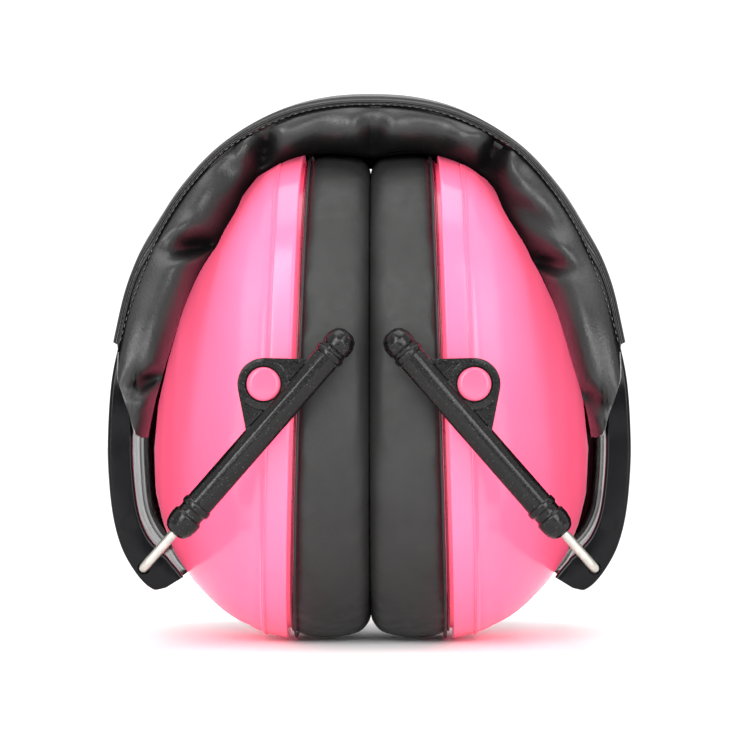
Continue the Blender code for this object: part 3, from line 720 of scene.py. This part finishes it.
def ear_cushion():
    """The ring cushion: swollen by cloth pressure on a held back, flat where it is pressed."""
    item = loft("ear_cushion_right", cushion_base(96), CUSHION, cyclic=True)
    swollen(item, 2.2 * MM, 4, 1.2 * MM)
    smooth = item.modifiers.new("smooth", "SUBSURF")
    smooth.levels = 1
    smooth.render_levels = 1
    applied(item)
    settle_cushion(item)
    item.data.shade_smooth()
    return item


def cushion_welt():
    """The welded seam round the cushion's back edge, a thin cord of skin beside the plate."""
    radius = 0.3 * MM
    back = -CUSHION_BACK - radius
    path = oval(CUP_HALF_WIDTH - 0.55 * MM, CUP_HALF_HEIGHT - 0.55 * MM, 0, back)
    return moved(tube("cushion_welt_right", path, radius, CUSHION, 8, cyclic=True), cup_matrix())


def tube(name, path, radius, material, sides, cyclic=False):
    """A round tube along a path of points."""
    rings = []
    count = len(path)
    for k, point in enumerate(path):
        before = path[(k - 1) % count] if cyclic else path[max(k - 1, 0)]
        after = path[(k + 1) % count] if cyclic else path[min(k + 1, count - 1)]
        along = (after - before).normalized()
        up = X_AXIS if abs(along.x) < 0.9 else Z_AXIS
        a = along.cross(up).normalized()
        b = along.cross(a)
        rings.append(circle(point, a, b, radius, sides))
    return loft(name, rings, material, cyclic=cyclic, angle=60)


# Depth in mm, share of the cup's rim, drop of the middle in mm.
ABSORBER_SECTIONS = (
    (7, 0.74, -0.6), (7.2, 0.78, -0.6), (8, 0.80, -0.8), (13, 0.70, -2.6), (18, 0.56, -4.8),
    (21.5, 0.40, -6.6),
)


def absorber():
    """The foam block behind the ear, soft edged and slightly uneven."""
    rings = [oval(CUP_HALF_WIDTH * share ** 0.85, CUP_HALF_HEIGHT * share, drop * MM, depth * MM, 96)
             for depth, share, drop in ABSORBER_SECTIONS]
    middle = Vector((ABSORBER_SECTIONS[0][0] * MM, 0, ABSORBER_SECTIONS[0][2] * MM))
    face = [[middle + (point - middle) * share for point in rings[0]] for share in (0.05, 0.25, 0.5, 0.75)]
    item = loft("absorber_block_right", face + rings, FOAM)
    for vertex in item.data.vertices:
        vertex.co.x += noise.noise(vertex.co / (5 * MM)) * 0.35 * MM
    return moved(item, cup_matrix())


# ---------------------------------------------------------------- arms, caps, wires, buttons

def tube_ring(height):
    """The arm's eight-sided section with small facets at its corners."""
    ring = []
    for k in range(8):
        for turn in (-0.32, 0.32):
            angle = pi / 4 * (k + 0.5) + turn * pi / 4 / 2.2
            radius = TUBE_FLATS / 2 / cos(pi / 8) * 0.985
            ring.append(Vector((radius * cos(angle), radius * sin(angle), height)))
    return ring


def lug_outline(shrink=0):
    """The eye round the button, with straight webs running out to the tube."""
    centre = Vector((BUTTON_ACROSS, BUTTON_ALONG))
    radius = LUG_RADIUS - shrink
    points = []
    for corner, turn in ((Vector((0, LUG_REACH_DOWN)), 1), (Vector((0, LUG_REACH_UP)), -1)):
        away = centre - corner
        lean = asin(radius / away.length)
        side = Matrix.Rotation(turn * (pi / 2 - lean), 2) @ (-away.normalized())
        points.append((corner, centre + side * radius))
    (low_corner, low_touch), (high_corner, high_touch) = points
    start = atan2(low_touch.y - centre.y, low_touch.x - centre.x)
    end = atan2(high_touch.y - centre.y, high_touch.x - centre.x)
    steps = 32
    arc = [centre + radius * Vector((cos(a), sin(a)))
           for a in (start + (end - start) * k / steps for k in range(steps + 1))]
    return [tuple(low_corner)] + [tuple(point) for point in arc] + [tuple(high_corner)]


# The arm's ringed top: the height it counts from, then radius and rise in mm.
ARM_TOP_PROFILE = (
    (ARM_TOP, 0, 0), (ARM_TOP, 1.2, -0.05), (ARM_TOP, 2.3, -0.8), (ARM_TOP, 2.95, -2.2),
    (TUBE_TOP, 3, 1.5), (TUBE_TOP, 2.6, 1.15), (TUBE_TOP, 2.6, 0.55), (TUBE_TOP, 3.1, 0.3),
    (TUBE_TOP, 3.1, -0.7), (TUBE_TOP, 2.7, -1), (TUBE_TOP, 0, -1),
)


def swing_arm():
    """The moulded arm: eight-sided tube, ringed top, and an eye with a recessed web."""
    heights = [TUBE_BOTTOM, TUBE_TOP + 1 * MM]
    item = loft("swing_arm_right_front", [tube_ring(height) for height in heights], GRAINED, angle=20)
    profile = [(radius * MM, start + rise * MM) for start, radius, rise in ARM_TOP_PROFILE]
    top = turned("arm_top", rounded(profile, 0.3 * MM), GRAINED)
    boolean(item, top, "UNION")
    web = prism("arm_web", lug_outline(0.35 * MM), -LUG_FACE + 0.55 * MM, LUG_BACK, GRAINED)
    boolean(item, web, "UNION")
    eye_place = Vector((BUTTON_ACROSS, 0, BUTTON_ALONG))
    rim = [(0, -LUG_FACE), (LUG_RADIUS, -LUG_FACE), (LUG_RADIUS, LUG_BACK), (0, LUG_BACK)]
    eye_ring = turned("arm_eye_ring", rounded(rim, 0.3 * MM), GRAINED)
    boolean(item, faced(eye_ring, eye_place, -1), "UNION")
    for rib in web_ribs():
        boolean(item, rib, "UNION")
    eye = cylinder("arm_eye", BUTTON_SHAFT + GAP, -CUTTER, CUTTER)
    boolean(item, faced(eye, eye_place, -1), "DIFFERENCE")
    seat = -(LUG_FACE + BUTTON_PROUD - BUTTON_HEAD - GAP)
    recess = cylinder("arm_recess", BUTTON_RADIUS + GAP, -CUTTER, seat)
    boolean(item, faced(recess, eye_place, -1), "DIFFERENCE")
    mark = round_mark("ejector_mark", (0.8 * MM, 1.05 * MM), -CUTTER, -LUG_FACE + 0.72 * MM, GRAINED, 32)
    boolean(item, faced(mark, EJECTOR_PLACE, -1), "DIFFERENCE")
    shaded(item.data, 28)
    return moved(item, arm_matrix())


def web_ribs():
    """The raised edges of the web: straight ribs from the eye to the tube."""
    outline = lug_outline()
    inner = lug_outline(0.9 * MM)
    ribs = []
    for number, (a, b) in enumerate(((0, 1), (-1, -2))):
        corner = Vector(outline[a])
        touch = Vector(outline[b])
        back = Vector(inner[b]) - touch
        block = [tuple(corner), tuple(touch), tuple(touch + back), tuple(corner + back)]
        ribs.append(prism(f"web_rib_{number}", block, -LUG_FACE, LUG_BACK - 0.1 * MM, GRAINED))
    return ribs


# Radius and height along the arm in mm, starting and ending on the bore.
GUIDE_PROFILE = (
    (1.1, 17), (2.2, 17), (3.05, 16.5), (3.08, 15.3), (2.65, 14.95), (2.65, 13.75), (3.1, 13.4),
    (3.12, 12), (2.85, 10.5), (2.2, 9.45), (1.3, 9.05), (1.1, 9.1),
)


def wire_guide():
    """The ringed cap on the arm's lower end."""
    profile = rounded(in_metres(GUIDE_PROFILE), 0.35 * MM, 4)
    return moved(turned("wire_guide_right_front", profile, GRAINED), arm_matrix())


def bent_wire():
    """One wire: a leg up each arm and a bridge through the headband's end."""
    side = Y_AXIS
    points = []
    for sign in (-1, 1):
        leg = [WIRE_PIVOT + ARM_ALONG * WIRE_TOP + side * ARM_PLANE * sign,
               WIRE_PIVOT + ARM_ALONG * 9 * MM + side * ARM_PLANE * sign]
        centre = WIRE_PIVOT + side * sign * (ARM_PLANE - WIRE_BEND) + ARM_ALONG * WIRE_BEND
        for k in range(17):
            angle = pi / 2 * k / 16
            leg.append(centre + (side * sign * cos(angle) - ARM_ALONG * sin(angle)) * WIRE_BEND)
        points += leg if sign < 0 else leg[::-1]
    return tube("bent_wire_right", points, WIRE_RADIUS, STEEL, 32)


# The head's crowned and chamfered face: radius and drop in mm.
BUTTON_CROWN = ((0, 0), (1.2, 0.01), (2.2, 0.05), (2.75, 0.12), (3.05, 0.3), (3.25, 0.55), (3.32, 0.9))


def pin_button():
    """The snap-in pin: a chamfered, faintly crowned head on a stepped shaft."""
    face = ARM_PLANE + LUG_FACE + BUTTON_PROUD
    neck = face - BUTTON_HEAD
    profile = [(radius * MM, face - drop * MM) for radius, drop in BUTTON_CROWN] + [
        (BUTTON_RADIUS, neck + 0.1 * MM), (3.2 * MM, neck), (2.4 * MM, neck),
        (BUTTON_SHAFT, neck - 0.1 * MM), (BUTTON_SHAFT, BUTTON_END + 1.2 * MM),
        (1.7 * MM, BUTTON_END), (0, BUTTON_END)]
    return faced(turned("pin_button_right_front", profile, PINK), BUTTON_PIVOT, 1)


# ---------------------------------------------------------------- headband

def station_frame(stations, number, tip=None):
    """A point on the outer surface, the inward direction there, and the other values in metres."""
    row = value_at(stations, number)
    before = value_at(stations, max(number - 0.05, -0.05))
    after = value_at(stations, min(number + 0.05, len(stations) - 1))
    along = Vector((after[0] - before[0], 0, after[1] - before[1])).normalized()
    inward = Vector((along.z, 0, -along.x))
    if tip is not None:
        inward = inward.lerp(tip, max(0, number - (len(stations) - 2))).normalized()
    return Vector((row[0], 0, row[1])) * MM, inward, [value * MM for value in row[2:]]


def band_stations():
    """The whole band: seated in the cover from the crown down, then its bare end."""
    rows = []
    for number, (seat, flange) in enumerate(BAND_SEATS):
        place, inward, (half, *_) = station_frame(COVER_STATIONS, number)
        place = (place + inward * seat * MM) / MM
        rows.append((place.x, place.z, half / MM - BAND_MARGIN, flange, BAND_WEB))
    return tuple(rows) + END_STATIONS


def band_profile(half, depth, web):
    """Half of the band's channel section from its middle outside to its middle inside, as (y, depth):
    rounded flange edges and fine ribs along the inside of the web."""
    width = 1.8 * MM
    inner = half - width
    r = 0.35 * MM
    points = rounded([(0, 0), (half * 0.5, 0), (half, 0), (half, depth), (inner, depth),
                      (inner, web), (inner - 2 * MM, web)], 2.2 * r, 4)
    ribs = []
    for k in range(12):
        y = (inner - 3 * MM) * (1 - k / 11)
        ribs.append((y, web - (0.22 * MM if k % 3 == 1 else 0)))
    return points + ribs


def band_strip():
    """The whole right half of the band, from the crown down to its bare end."""
    stations = band_stations()
    last = len(stations) - 1
    count = 120
    rings = []
    for number in [last * k / count for k in range(count)] + [last - 0.05, last - 0.02, last]:
        place, inward, (half, depth, web) = station_frame(stations, number, BAND_TIP_INWARD)
        side = band_profile(half, depth, web)
        loop = [(y, d) for y, d in side] + [(-y, d) for y, d in side[-2:0:-1]]
        tuck = TIP_ROUNDING * max(0, 1 - (last - number) / TIP_STRETCH) ** 2
        rings.append([place + inward * (d + tuck * (1 - d / depth)) + Vector((0, -y, 0))
                      for y, d in loop])
    item = loft("band_strip_right", rings, BLACK, angle=35)
    hole = cylinder("wire_hole", WIRE_RADIUS + GAP, -60 * MM, 60 * MM, 32)
    boolean(item, faced(hole, WIRE_PIVOT, 1), "DIFFERENCE")
    place, inward, (half, depth, _) = station_frame(stations, MARK_STATION)
    for _, sign in ENDS:
        spot = place + inward * depth * 0.55 + Vector((0, sign * half, 0))
        mark = round_mark("flange_mark", (1.4 * MM, 1.6 * MM), -1 * MM, 0.12 * MM, BLACK, 48)
        boolean(item, faced(mark, spot, sign), "DIFFERENCE")
    shaded(item.data, 35)
    return item


# The cover's open end: depth below the crest, and how far past the outer lip it reaches, in mm.
MOUTH_EDGE = (
    (0, 0), (1.2, 0.4), (1.7, 1.8), (2.4, 6.6), (5.3, 13.8), (6.6, 18.2), (8, 18.9), (11, 18),
)
MOUTH_REACH = 19
# The padded side: share of the way down from the seam, and how far it stands out past the edge, mm.
PAD_BULGE = (
    (0.03, -0.3), (0.07, 0.02), (0.12, 0.32), (0.18, 0.58), (0.25, 0.78), (0.32, 0.88), (0.40, 0.88),
    (0.48, 0.74), (0.56, 0.46), (0.64, 0.06), (0.71, -0.44), (0.78, -1.08), (0.84, -1.8), (0.895, -2.7),
    (0.94, -3.7), (0.975, -4.9),
)
# The sewn edge, from the outer skin to the pad: what each strip is, and its points in mm as how far
# out and how deep they are from the skin's edge.
COVER_EDGE = (
    ("piping", ((-1.1, -0.1), (-0.7, -0.02), (-0.45, 0.06), (-0.34, 0.02), (-0.24, 0.12), (-0.1, 0.26),
                (-0.03, 0.36), (-0.12, 0.41), (-0.02, 0.47), (0.03, 0.6), (-0.03, 0.74))),
    ("hem", ((-0.26, 0.8), (-0.34, 0.88), (-0.32, 0.98))),
    ("piping", ((-0.16, 1.02), (0, 1.1), (0.05, 1.2), (-0.04, 1.32), (-0.3, 1.4), (-0.42, 1.5))),
)
# How much of the folds and of the skin's slackness each kind takes.
FOLD_SHARE = {"outer": 0, "piping": 0.06, "hem": 0.12, "pad": 1}
SLACK_SHARE = {"outer": 0.3, "piping": 0.15, "hem": 0.2, "pad": 1}
LIP_STATION = 6.33
LAST_STATION = 8.16
SEAM_DEPTH = 1.4
# Folds of the padding, in the plane of the front face in mm: X, Z, half length, half width, angle of
# the fold from the vertical in degrees, depth (negative is a ridge).
FOLDS_LEFT = (
    (-21.4, 99.8, 4.8, 2.5, 14, 3.4), (-25.2, 101, 4.6, 1.7, 14, -1.1),
    (-20.6, 105, 3.2, 1.4, -75, -0.8),
    (-28.6, 95.6, 5, 2.4, 50, 1.4), (-32.6, 92.5, 5, 3, 45, -0.8), (-34.6, 80.6, 5.2, 2.1, 76, 3.8),
    (-37.6, 84.4, 3.6, 1.7, 60, -1.2), (-38, 74.5, 5, 3.4, 20, -0.7), (-42.4, 64, 7, 3, 5, -0.5),
    (-43.2, 53.2, 3.8, 1.9, 66, 3), (-43.6, 49.2, 3, 1.6, 75, -1),
    (-22, 99.2, 4, 0.9, 14, 1.5), (-34.6, 80.4, 4.4, 0.9, 74, 1.6), (-36.2, 76.8, 4, 1.4, 82, -0.8),
    (-43, 53.8, 3.2, 0.9, 66, 1),
)
FOLDS_RIGHT = (
    (24.6, 97.6, 5.2, 2.7, 24, 3.6), (22, 103.4, 5, 1.8, 84, -1), (28.6, 99, 3.6, 1.6, 30, -1.3),
    (14.5, 101.6, 4, 2.6, -10, 1.3), (31, 93, 4.5, 2.8, -45, -0.7), (32.2, 87, 4.8, 2.4, -55, 1.8),
    (34, 77, 5, 2.2, -74, 3.8), (37.8, 80.4, 3.6, 1.8, -60, -1.1), (41.6, 66, 8, 3.2, -8, -0.6),
    (42.8, 50, 3.8, 2, -66, 3), (43.2, 46, 3, 1.6, -75, -0.9),
    (23.8, 98.6, 4.6, 1, 28, 1.5), (34.4, 77.4, 4.2, 0.9, -74, 1.6), (35.6, 73.6, 4, 1.4, -80, -0.8),
    (42.6, 50.6, 3.2, 0.9, -66, 1),
)
FOLDS_MIDDLE = (
    (0.6, 101.4, 4.6, 2, 0, 3), (-3.8, 104.6, 3.6, 2, 0, -0.8), (5, 104.6, 3.6, 2, 0, -0.8),
    (-10.5, 101.6, 4.4, 2.8, 15, 1), (10.5, 102, 3.8, 2.4, -10, 0.7),
)


def mouth_reach(depth):
    """How far past the lip the cover reaches, at a depth in mm below its crest."""
    for (low, start), (high, end) in zip(MOUTH_EDGE, MOUTH_EDGE[1:]):
        if depth <= high:
            return start + (end - start) * (depth - low) / (high - low)
    return MOUTH_EDGE[-1][1]


def mouth_station(depth):
    """The station number at which the cover ends, at a depth in metres below its crest."""
    return LIP_STATION + mouth_reach(depth / MM) / MOUTH_REACH * (LAST_STATION - LIP_STATION)


def cover_profile(half, depth, crown, gain):
    """Half of the cover's section from the crest to the middle inside, as (y, depth, kind) in metres:
    outer skin, piping strip with fine lines, hem, seam bead, then the padded inner skin."""
    edge = crown + 0.2 * MM
    low = depth + gain
    points = []
    for share in (0, 0.12, 0.24, 0.36, 0.48, 0.6, 0.7, 0.8, 0.88, 0.94):
        points.append((half * share, crown * share ** 2, "outer"))
    for kind, strip in COVER_EDGE:
        points += [(half + y * MM, edge + d * MM, kind) for y, d in strip]
    start = edge + 1.5 * MM
    room = low - start
    for share, bulge in PAD_BULGE:
        points.append((half + bulge * MM, start + room * share, "pad"))
    for share in (0.84, 0.76, 0.66, 0.55, 0.44, 0.33, 0.22, 0.11, 0):
        points.append((half * share, low + (depth - low) * (1 - share), "pad"))
    return points


def fold_height(x, z, folds):
    """Total depth in mm of the folds at a place on the front face."""
    total = 0
    for fx, fz, length, width, angle, height in folds:
        dx = x - fx
        dz = z - fz
        if abs(dx) > 12 or abs(dz) > 12:
            continue
        turn = radians(angle)
        along = dz * cos(turn) + dx * sin(turn)
        across = dx * cos(turn) - dz * sin(turn)
        total += height * exp(-(along / length) ** 2 - (across / width) ** 2)
    return total


def cover_rings():
    """The whole cover from mouth to mouth as rings of (point, kind), before the folds."""
    per_side = 130
    rings = []
    for k in range(-per_side, per_side + 1):
        share = abs(k) / per_side
        sign = -1 if k < 0 else 1
        ring = []
        base = share * LAST_STATION
        half, depth, crown, gain = station_frame(COVER_STATIONS, base)[2]
        side = cover_profile(half, depth, crown, gain)
        for y_sign, part in ((-1, side), (1, side[-2:0:-1])):
            for y, d, kind in part:
                place, inward, values = station_frame(COVER_STATIONS, share * mouth_station(d))
                ratio = values[0] / half
                point = place + inward * d + Vector((0, y_sign * y * ratio, 0))
                point.x *= sign
                ring.append((point, kind))
        rings.append(ring)
    return rings


def folded(p, normal, kind):
    """A point of the cover pushed in by the folds, and in or out by the skin's slackness."""
    x = p.x / MM
    z = p.z / MM
    front = p.y < 0
    folds = (FOLDS_LEFT if (x < 0) == front else FOLDS_RIGHT) + FOLDS_MIDDLE
    share = FOLD_SHARE[kind]
    if kind == "pad":
        share = 0.25 + 0.75 * min(1, max(0, (abs(normal.y) - 0.05) / 0.5))
    push = fold_height(x if front else -x, z, folds) * share * (1 if front else -1)
    slack = noise.noise(Vector((x / 11, p.y / MM / 14, z / 11))) * 0.3
    return p + (normal * slack * SLACK_SHARE[kind] + Vector((0, push, 0))) * MM


def cover_mesh():
    """One sewn cover with its folds, as a mesh to be cut in two at the middle."""
    rings = cover_rings()
    work = bmesh.new()
    rows = skin(work, [[point for point, _ in ring] for ring in rings])
    count = len(rings[0])
    kinds = [kind for _, kind in rings[0]]
    for face in work.faces:
        face.smooth = True
    for row in (rows[0], rows[-1]):
        middle = sum((vertex.co for vertex in row), Vector()) / count
        inner = [work.verts.new(vertex.co.lerp(middle, 0.1) + Vector((0, 0, 0.8 * MM))) for vertex in row]
        for i in range(count):
            j = (i + 1) % count
            work.faces.new((row[i], row[j], inner[j], inner[i]))
        work.faces.new(inner)
    bmesh.ops.recalc_face_normals(work, faces=work.faces)
    work.normal_update()
    normals = [[vertex.normal.copy() for vertex in row] for row in rows]
    for row, facing in zip(rows, normals):
        for vertex, normal, kind in zip(row, facing, kinds):
            vertex.co = folded(vertex.co, normal, kind)
    work.verts.index_update()
    for face in work.faces:
        numbers = [vertex.index for vertex in face.verts]
        if max(numbers) < len(rows) * count:
            columns = {number % count for number in numbers}
            if all(kinds[column] == "hem" for column in columns):
                face.material_index = 1
    return mesh_of(work, "cover")


def half_of(mesh, name, sign):
    """The half of a mesh on one side of the middle."""
    work = bmesh.new()
    work.from_mesh(mesh)
    far = [face for face in work.faces if face.calc_center_median().x * sign < 0]
    bmesh.ops.delete(work, geom=far, context="FACES")
    return add_mesh(name, shaded(mesh_of(work, name), 60), LEATHER, HEM)


def seam_path(side_sign, y_sign, lift):
    """Points along the seam bead, from the crown to the mouth."""
    points = []
    for k in range(400):
        number = k / 399 * (LIP_STATION + 0.05)
        place, inward, (half, _, crown, _) = station_frame(COVER_STATIONS, number)
        point = place + inward * (crown + SEAM_DEPTH * MM) + Vector((0, y_sign * (half + lift), 0))
        point.x *= side_sign
        points.append(point)
    return points


STITCH_PITCH = 1.45 * MM
STITCH_LENGTH = 0.85 * MM
# Place along the stitch as a share of its length, radius and lift in mm.
STITCH_SECTIONS = (
    (-0.5, 0.02, -0.1), (-0.35, 0.07, -0.03), (0, 0.08, 0.03), (0.35, 0.07, -0.03), (0.5, 0.02, -0.1),
)


def stitches(label, side_sign):
    """Lock stitches standing on the seam bead of both edges."""
    work = bmesh.new()
    for _, y_sign in ENDS:
        path = seam_path(side_sign, y_sign, 0.02 * MM)
        travelled = 0
        next_at = STITCH_PITCH / 2
        for before, after in zip(path, path[1:]):
            step = (after - before).length
            while next_at <= travelled + step:
                here = before.lerp(after, (next_at - travelled) / step)
                along = (after - before).normalized()
                out = Vector((0, y_sign, 0))
                across = along.cross(out)
                made = skin(work, [
                    circle(here + along * t * STITCH_LENGTH + out * lift * MM, across, out, radius * MM, 6)
                    for t, radius, lift in STITCH_SECTIONS])
                work.faces.new(made[0])
                work.faces.new(made[-1])
                next_at += STITCH_PITCH
            travelled += step
    return finish_mesh(work, "seam_stitches_" + label, THREAD)


# Where the cut edge shows, as depth in mm below the crest.
TRIM_START = 1.7
TRIM_END = 7.2
TRIM_STEPS = 39


def mouth_trim(label, side_sign):
    """The pale cut edge of the cover's open end, a thin ribbon over its front and rear lips."""
    pieces = []
    for end, y_sign in ENDS:
        path = []
        for k in range(TRIM_STEPS + 1):
            d = (TRIM_START + (TRIM_END - TRIM_START) * k / TRIM_STEPS) * MM
            place, inward, values = station_frame(COVER_STATIONS, mouth_station(d))
            point = place + inward * d + Vector((0, y_sign * (values[0] - 0.1 * MM), 0))
            point.x *= side_sign
            path.append(point)
        pieces.append(tube(f"mouth_trim_{label}_{end}", path, 0.13 * MM, EDGE, 8))
    return pieces


# ---------------------------------------------------------------- assembly

def settle(item, body, slot, *nodes):
    """Hang a finished piece on its body and hide the CAD nodes it stands for; its slot is not used."""
    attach(item, body)
    if nodes:
        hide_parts(*nodes)


def build_cups():
    dome = cup_dome()
    plate = rim_plate()
    pad = ear_cushion()
    welt = cushion_welt()
    block = absorber()
    for label, sign in SIDES:
        pieces = [dome, plate, pad, welt, block]
        if sign < 0:
            pieces = [to_left(item) for item in pieces]
        body = label + "_cup"
        settle(pieces[0], body, "pink_plastic", "cup_shell_" + label)
        settle(pieces[1], body, "pink_plastic", "cushion_plate_" + label)
        settle(pieces[2], body, "leatherette", "cushion_cover_" + label, "cushion_foam_" + label)
        settle(pieces[3], body, "leatherette")
        settle(pieces[4], body, "foam", "absorber_foam_" + label)


def build_arms():
    kinds = (
        (swing_arm(), "arms", "black_plastic", "arm"),
        (wire_guide(), "arms", "black_plastic", "guide_cap"),
        (pin_button(), "cup", "pink_plastic", "pivot_button"),
    )
    for master, body, slot, node in kinds:
        for label, sign in SIDES:
            side = master if sign > 0 else to_left(master)
            rear = mirrored(side, "front", "rear", Y_AXIS)
            settle(side, f"{label}_{body}", slot, f"{node}_{label}_front")
            settle(rear, f"{label}_{body}", slot, f"{node}_{label}_rear")
    wire = bent_wire()
    left = to_left(wire)
    settle(wire, "right_wire", "steel_wire", "wire_right")
    settle(left, "left_wire", "steel_wire", "wire_left")


def build_headband():
    cover = cover_mesh()
    strip = band_strip()
    strips = {"right": strip, "left": to_left(strip)}
    for label, sign in SIDES:
        pad = half_of(cover, "padded_cover_" + label, sign)
        for item, slot in (
            (pad, "leatherette"), (stitches(label, sign), "leatherette"), (strips[label], "black_plastic"),
        ):
            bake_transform(item)
        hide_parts("cover_" + label, "headband_foam_" + label, "cover_crown", "headband_foam_crown")
        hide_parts("headband_" + label, "headband_crown")
        for trim in mouth_trim(label, sign):
            settle(trim, label + "_band", "leatherette")
    bpy.data.meshes.remove(cover)


# ---------------------------------------------------------------- floor, light and camera

AIM = Vector((0, 0, 0.055))
# Place, width and height in metres, and power in watts.
LAMPS = (
    ("key", (-0.50, -1, 0.50), (0.30, 1), 7.5),
    ("fill", (0.60, -1, 0.42), (0.30, 0.9), 5.5),
    ("front", (0, -1.25, 0.47), (1.3, 0.40), 9),
    ("low", (0, -1.25, -0.30), (1.3, 0.30), 7),
    ("top", (0, -0.15, 1.1), (0.9, 0.7), 6),
    ("left_edge", (-0.88, -0.42, 0.10), (0.50, 0.9), 15),
    ("right_edge", (0.88, -0.42, 0.10), (0.50, 0.9), 15),
)
FLOOR_DROP = 0.2 * MM
TENT_FRONT = (0, -0.93, -0.35)
TENT_DIM = 0.34
TENT_STRENGTH = 1.25


def build_stage():
    work = bmesh.new()
    bmesh.ops.create_grid(work, x_segments=2, y_segments=2, size=3)
    floor = add_mesh("floor", mesh_of(work, "floor"), FLOOR_PAINT)
    floor.location.z = -FLOOR_DROP
    bpy.context.scene.world = studio_world()
    for row in LAMPS:
        add_lamp(*row)


def add_lamp(name, place, size, power):
    """One softbox. The edge lamps light the pink domes only and nothing stops them, so the domes
    are bright right up to the headband; the front lamps leave the domes and buttons out."""
    data = bpy.data.lights.new(name, "AREA")
    data.shape = "RECTANGLE"
    data.size, data.size_y = size
    data.energy = power
    lamp = add_object(name, data)
    lamp.location = place
    lamp.rotation_euler = (AIM - Vector(place)).to_track_quat("-Z", "Y").to_euler()
    if name.endswith("edge"):
        link_pink(lamp, "INCLUDE", "cup_dome")
        lamp.light_linking.blocker_collection = lamp.light_linking.receiver_collection
        lamp.visible_glossy = False
    if name in ("front", "low"):
        link_pink(lamp, "EXCLUDE", "cup_dome", "pin_button")


def link_pink(lamp, state, *kinds):
    """Let a lamp light nothing but the pieces of these kinds, or everything but them."""
    group = bpy.data.collections.new(lamp.name + "_pink")
    for item in list(bpy.data.objects):
        if item.name.startswith(kinds):
            group.objects.link(item)
    for member in group.collection_objects:
        member.light_linking.link_state = state
    lamp.light_linking.receiver_collection = group


def studio_world():
    """A light tent: white all round and overhead, dim behind the open front it is seen through."""
    world = bpy.data.worlds.new("studio")
    world.use_nodes = True
    tree = world.node_tree
    back = tree.nodes["Background"]
    back.inputs["Strength"].default_value = TENT_STRENGTH
    coords, front, ramp, paths, mix = (tree.nodes.new("ShaderNode" + kind) for kind in (
        "TexCoord", "VectorMath", "ValToRGB", "LightPath", "Mix"))
    front.operation = "DOT_PRODUCT"
    front.inputs[1].default_value = TENT_FRONT
    for stop, place, level in zip(ramp.color_ramp.elements, (0.05, 0.75), (1, TENT_DIM)):
        stop.position = place
        stop.color = (level, level, level, 1)
    mix.data_type = "RGBA"
    mix.inputs["B"].default_value = (1, 1, 1, 1)
    for start, end in (
        (coords.outputs["Generated"], front.inputs[0]), (front.outputs["Value"], ramp.inputs["Fac"]),
        (ramp.outputs["Color"], mix.inputs["A"]), (paths.outputs["Is Camera Ray"], mix.inputs["Factor"]),
        (mix.outputs["Result"], back.inputs["Color"]),
    ):
        tree.links.new(start, end)
    return world


CAMERA_AZIMUTH = radians(0.5)
CAMERA_ELEVATION = radians(-0.7)
CAMERA_DISTANCE = 0.6
CAMERA_MIDDLE = Vector((0.0008, 0, 0.055))
SENSOR = 36
PICTURE_WIDTH = 0.1575


def build_camera():
    """Level with the middle of the object, a little to its right, as for a product picture."""
    data = bpy.data.cameras.new("camera")
    data.sensor_width = SENSOR
    data.lens = SENSOR * CAMERA_DISTANCE / PICTURE_WIDTH
    data.clip_end = 20
    camera = add_object("camera", data)
    level = cos(CAMERA_ELEVATION)
    way = Vector((sin(CAMERA_AZIMUTH) * level, -cos(CAMERA_AZIMUTH) * level,
                  sin(CAMERA_ELEVATION)))
    camera.location = CAMERA_MIDDLE + way * CAMERA_DISTANCE
    camera.rotation_euler = (-way).to_track_quat("-Z", "Y").to_euler()
    bpy.context.scene.camera = camera


build_cups()
build_arms()
build_headband()
build_stage()
build_camera()
bpy.context.scene.view_settings.view_transform = "Standard"
bpy.context.scene.view_settings.look = "None"
